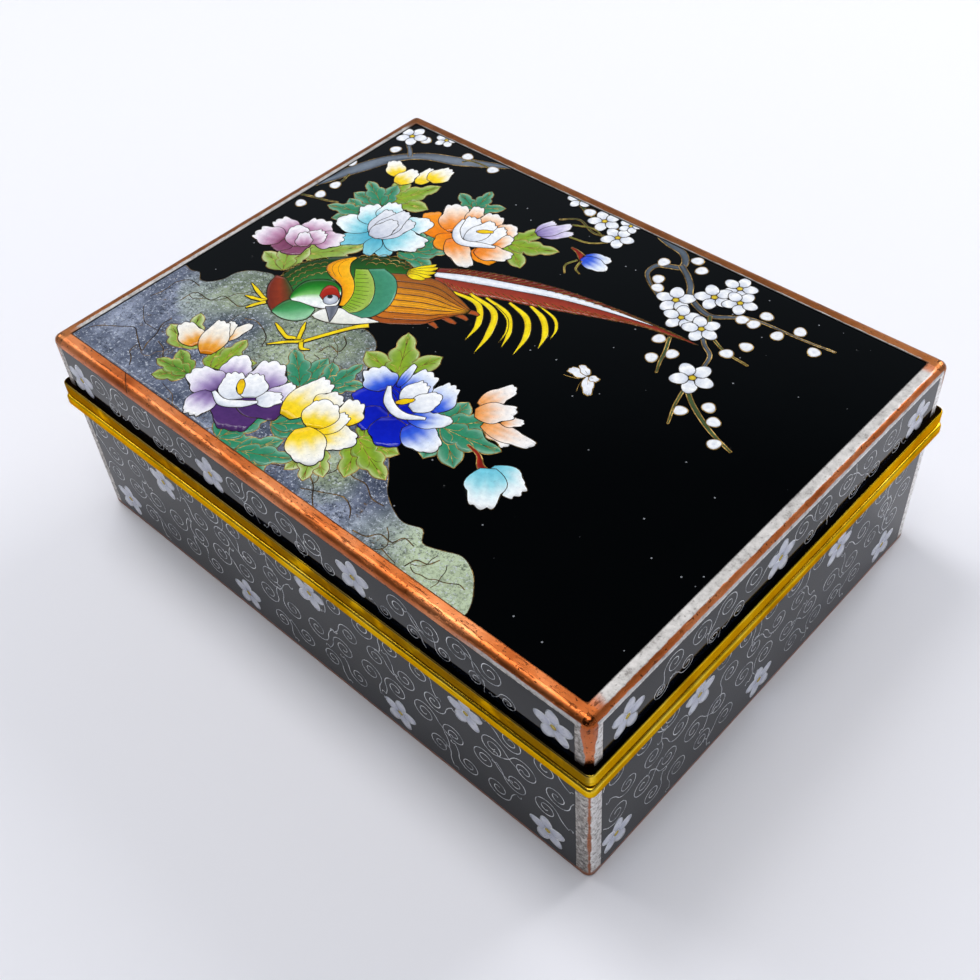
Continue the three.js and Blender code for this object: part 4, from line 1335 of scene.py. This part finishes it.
# wing: rust above and below, golden between, in eight feathers with fingers at their ends
for points in ([(-16.5, -1.1), (-13.5, -0.8), (-11.3, -0.9), (-9.9, -1.2)],
               [(-14.1, 0.8), (-11.1, 1.6), (-9.2, 1.7), (-8.1, 1.8)],
               [(-12.5, 3.0), (-10.1, 3.7), (-8.2, 3.9), (-7.2, 3.8)],
               [(-11.6, 4.7), (-9.2, 5.5), (-7.6, 6.0), (-6.5, 6.0)]):
    add_stroke(bird, points, (1.3, 1.2, 1.1, 0.6), finger_rust)
wing_top = smooth_line([(-29.4, 3.0), (-27.1, 5.1), (-24.3, 6.7), (-20.5, 8.4), (-17.4, 8.6),
                        (-14.0, 7.8), (-10.4, 6.8), (-8.6, 6.2)],
                       6)
wing_foot = smooth_line([(-21.5, -6.7), (-19.3, -6.7), (-17.2, -5.6), (-14.7, -3.8), (-12.5, -1.9),
                         (-11.5, 0.3), (-10.0, 3.0), (-8.4, 5.2)],
                        6)
feather_tints = (("#8a4a20", "#a8601f"), ("#94511f", "#b46a20"), ("#a8601f", "#d88a20"),
                 ("#c07418", "#f0a01c"), ("#d88418", "#f4a81e"), ("#c87418", "#ea961c"),
                 ("#b05c18", "#c8701e"), ("#94461a", "#a8521c"))
for k, (dark, light) in reversed(list(enumerate(feather_tints))):
    low, high = k / 8, min((k + 1.25) / 8, 1)
    add_patch((wing_top * (1 - low) + wing_foot * low)[::6],
              (wing_top * (1 - high) + wing_foot * high)[::6],
              shades((0.0, dark), (0.45, light), (0.8, light), (1.0, dark)), rows=22, columns=7)
for k in range(24):
    share = (k + 0.5) / 24
    barb = wing_top * (1 - share) + wing_foot * share
    bird.wire(barb[10 + k % 3:34 - k % 5], width=0.07)
# belly: a white strip under the head and the wing
add_patch([(-30.3, -13.0), (-30.2, -11.0), (-28.8, -9.2), (-27.1, -8.1), (-24.2, -7.7), (-22.0, -7.2),
           (-19.3, -6.5)],
          [(-29.2, -13.2), (-27.1, -12.8), (-24.9, -11.8), (-22.4, -10.0), (-20.8, -8.4), (-19.2, -6.7)],
          cheek_white, rows=14, columns=7)
# teal band, green fan with bars, and golden cape
add_patch([(-33.0, 2.1), (-29.4, 0.9), (-26.4, -1.4), (-24.6, -4.2), (-24.6, -6.9), (-25.3, -8.3)],
          [(-29.7, 4.9), (-25.9, 4.1), (-22.9, 1.4), (-21.0, -2.4), (-21.1, -6.0), (-22.5, -7.8)],
          teal_band, rows=20, columns=7)
fan = add_patch([(-34.0, 1.4), (-31.4, -1.5), (-29.0, -4.3), (-27.8, -6.8), (-27.6, -8.1)],
                [(-31.9, 2.8), (-28.9, 1.3), (-26.1, -1.1), (-24.3, -4.0), (-24.2, -6.7), (-25.3, -8.3)],
                belly_green, rows=28, columns=9)
for row in range(3, 26, 2):
    bird.wire(fan[row, 1:7], width=0.14)
cape = add_patch([(-36.7, 4.0), (-38.7, 0.9), (-38.8, -1.6), (-36.3, -3.0), (-32.7, -3.7), (-30.6, -5.1),
                  (-29.0, -7.0), (-28.4, -8.0)],
                 [(-36.1, 4.0), (-35.9, 2.2), (-34.2, 0.3), (-31.3, -1.4), (-29.1, -3.6), (-28.0, -5.8),
                  (-27.5, -7.6)],
                 cape_orange, rows=26, columns=9)
for column in (2, 4):
    bird.wire(cape[2:12, column], width=0.11)
# yellow rump tuft
for base, tip in (((-25.6, 7.0), (-22.7, 11.7)), ((-25.5, 6.7), (-21.8, 11.2)), ((-25.4, 6.5), (-21.2, 9.9)),
                  ((-25.2, 6.3), (-21.0, 8.5)), ((-24.9, 6.3), (-21.4, 7.2))):
    add_petal(bird, base, tip, 1.5, plume_yellow, 0.02, 1.0)
# russet breast, which shades into the green throat
add_patch([(-44.4, -9.3), (-43.3, -12.2), (-41.2, -14.4), (-38.3, -16.4), (-35.3, -17.1)],
          [(-42.4, -8.7), (-39.6, -9.8), (-37.3, -11.1), (-34.7, -13.5), (-33.0, -15.9)],
          shades((0.0, "#6e2414"), (0.5, "#8f3418"), (0.8, "#5e3a1a"), (1.0, "#24501c")), rows=16,
          columns=9)
throat = shades((0.0, "#2c6a30"), (0.45, "#3f9a58"), (1.0, "#a4d8b0"))
add_patch([(-37.1, -16.7), (-37.3, -14.9), (-37.1, -13.1), (-35.7, -11.2), (-31.3, -11.3)],
          [(-36.6, -17.0), (-34.1, -17.1), (-31.5, -16.1), (-30.2, -14.1), (-30.9, -11.6)], throat,
          rows=16, columns=9)
# head: green hood, white cheek, red round the eye, and beak
hood = shades((0.0, "#124a10"), (0.3, "#1f8a22"), (0.5, "#7fc46a"), (0.66, "#f2faf0"), (1.0, "#ffffff"))
add_patch([(-37.3, -12.2), (-38.4, -9.9), (-38.6, -7.1), (-36.9, -4.9), (-34.5, -3.7), (-31.8, -4.2)],
          [(-36.4, -12.5), (-34.5, -11.8), (-31.7, -11.2), (-29.5, -10.1), (-28.6, -8.3), (-30.4, -5.5)],
          hood, rows=18, columns=13)
add_patch([(-33.3, -8.3), (-34.2, -6.7), (-34.2, -5.1), (-32.5, -4.7), (-30.6, -5.7)],
          [(-32.2, -8.7), (-30.9, -8.9), (-30.0, -8.5), (-29.5, -7.5), (-30.0, -6.1)],
          shades((0.0, "#b82a14"), (0.5, "#a01f10"), (1.0, "#8a1a10")), rows=12, columns=7)
xy, out = disc_grid((-30.8, -7.8), 1.42)
bird.cell(xy, shades((0.0, "#e8ebf2"), (1.0, "#a4adc0"))(out))
xy, out = disc_grid((-31.5, -7.3), 0.5, size=5)
bird.cell(xy, shades((0.0, "#0c0c0c"), (1.0, "#2a3038"))(out), width=0.1)
add_patch([(-30.1, -9.8), (-28.5, -10.8), (-26.4, -12.2)], [(-28.3, -8.0), (-27.2, -9.8), (-26.2, -12.2)],
          shades((0.0, "#8a8f9c"), (0.5, "#5e6370"), (1.0, "#7d828e")), rows=10, columns=5)
# legs and toes
leg_yellow = shades((0.0, "#e2bc04"), (0.5, "#ffe41c"), (1.0, "#e2bc04"))
for points, widths in (([(-19.9, -8.4), (-21.7, -10.6), (-23.9, -14.7), (-26.0, -19.0)],
                        (1.2, 1.0, 0.9, 0.9)),
                       ([(-26.0, -18.8), (-28.0, -19.3), (-29.2, -19.9), (-31.5, -19.3), (-33.8, -18.6)],
                        (0.9, 0.7, 1.1, 0.8, 0.9, 0.3)),
                       ([(-25.9, -19.0), (-28.1, -20.8), (-30.5, -23.5)], (0.9, 0.7, 0.8, 0.25)),
                       ([(-27.0, -19.1), (-28.2, -17.2), (-29.6, -15.0)], (0.9, 0.8, 0.9, 0.25)),
                       ([(-26.1, -19.2), (-24.7, -20.3), (-23.3, -19.6)], (0.9, 0.9, 0.3)),
                       ([(-40.0, -15.5), (-42.6, -14.9), (-46.2, -13.8)], (0.9, 0.8, 0.9, 0.25)),
                       ([(-39.9, -15.6), (-42.0, -16.4), (-44.3, -17.0)], (0.9, 0.8, 0.9, 0.25)),
                       ([(-39.7, -15.8), (-40.7, -17.5), (-41.4, -19.3)], (1.0, 0.8, 0.9, 0.25))):
    add_stroke(bird, points, widths, leg_yellow)
finish_motif(bird, petal_glaze, petal_wire)
finish_motif(scales, petal_glaze, gilt_wire)

# %% Butterfly
butterfly = Motif("butterfly", layer=2)
for base, tip, width in (((18.8, 6.0), (15.2, 5.5), 2.5), ((18.8, 6.2), (16.2, 7.5), 1.8),
                         ((19.0, 5.9), (21.8, 2.3), 2.3), ((19.2, 6.0), (21.0, 6.2), 1.7)):
    add_petal(butterfly, base, tip, width, stripe_white, veins=1)
for points in ([(18.8, 5.7), (17.7, 4.4), (15.4, 3.7)], [(18.8, 5.5), (19.0, 3.6), (19.8, 1.8)]):
    butterfly.wire(smooth_line(points, 6), width=0.14)
finish_motif(butterfly, petal_glaze, gilt_wire)
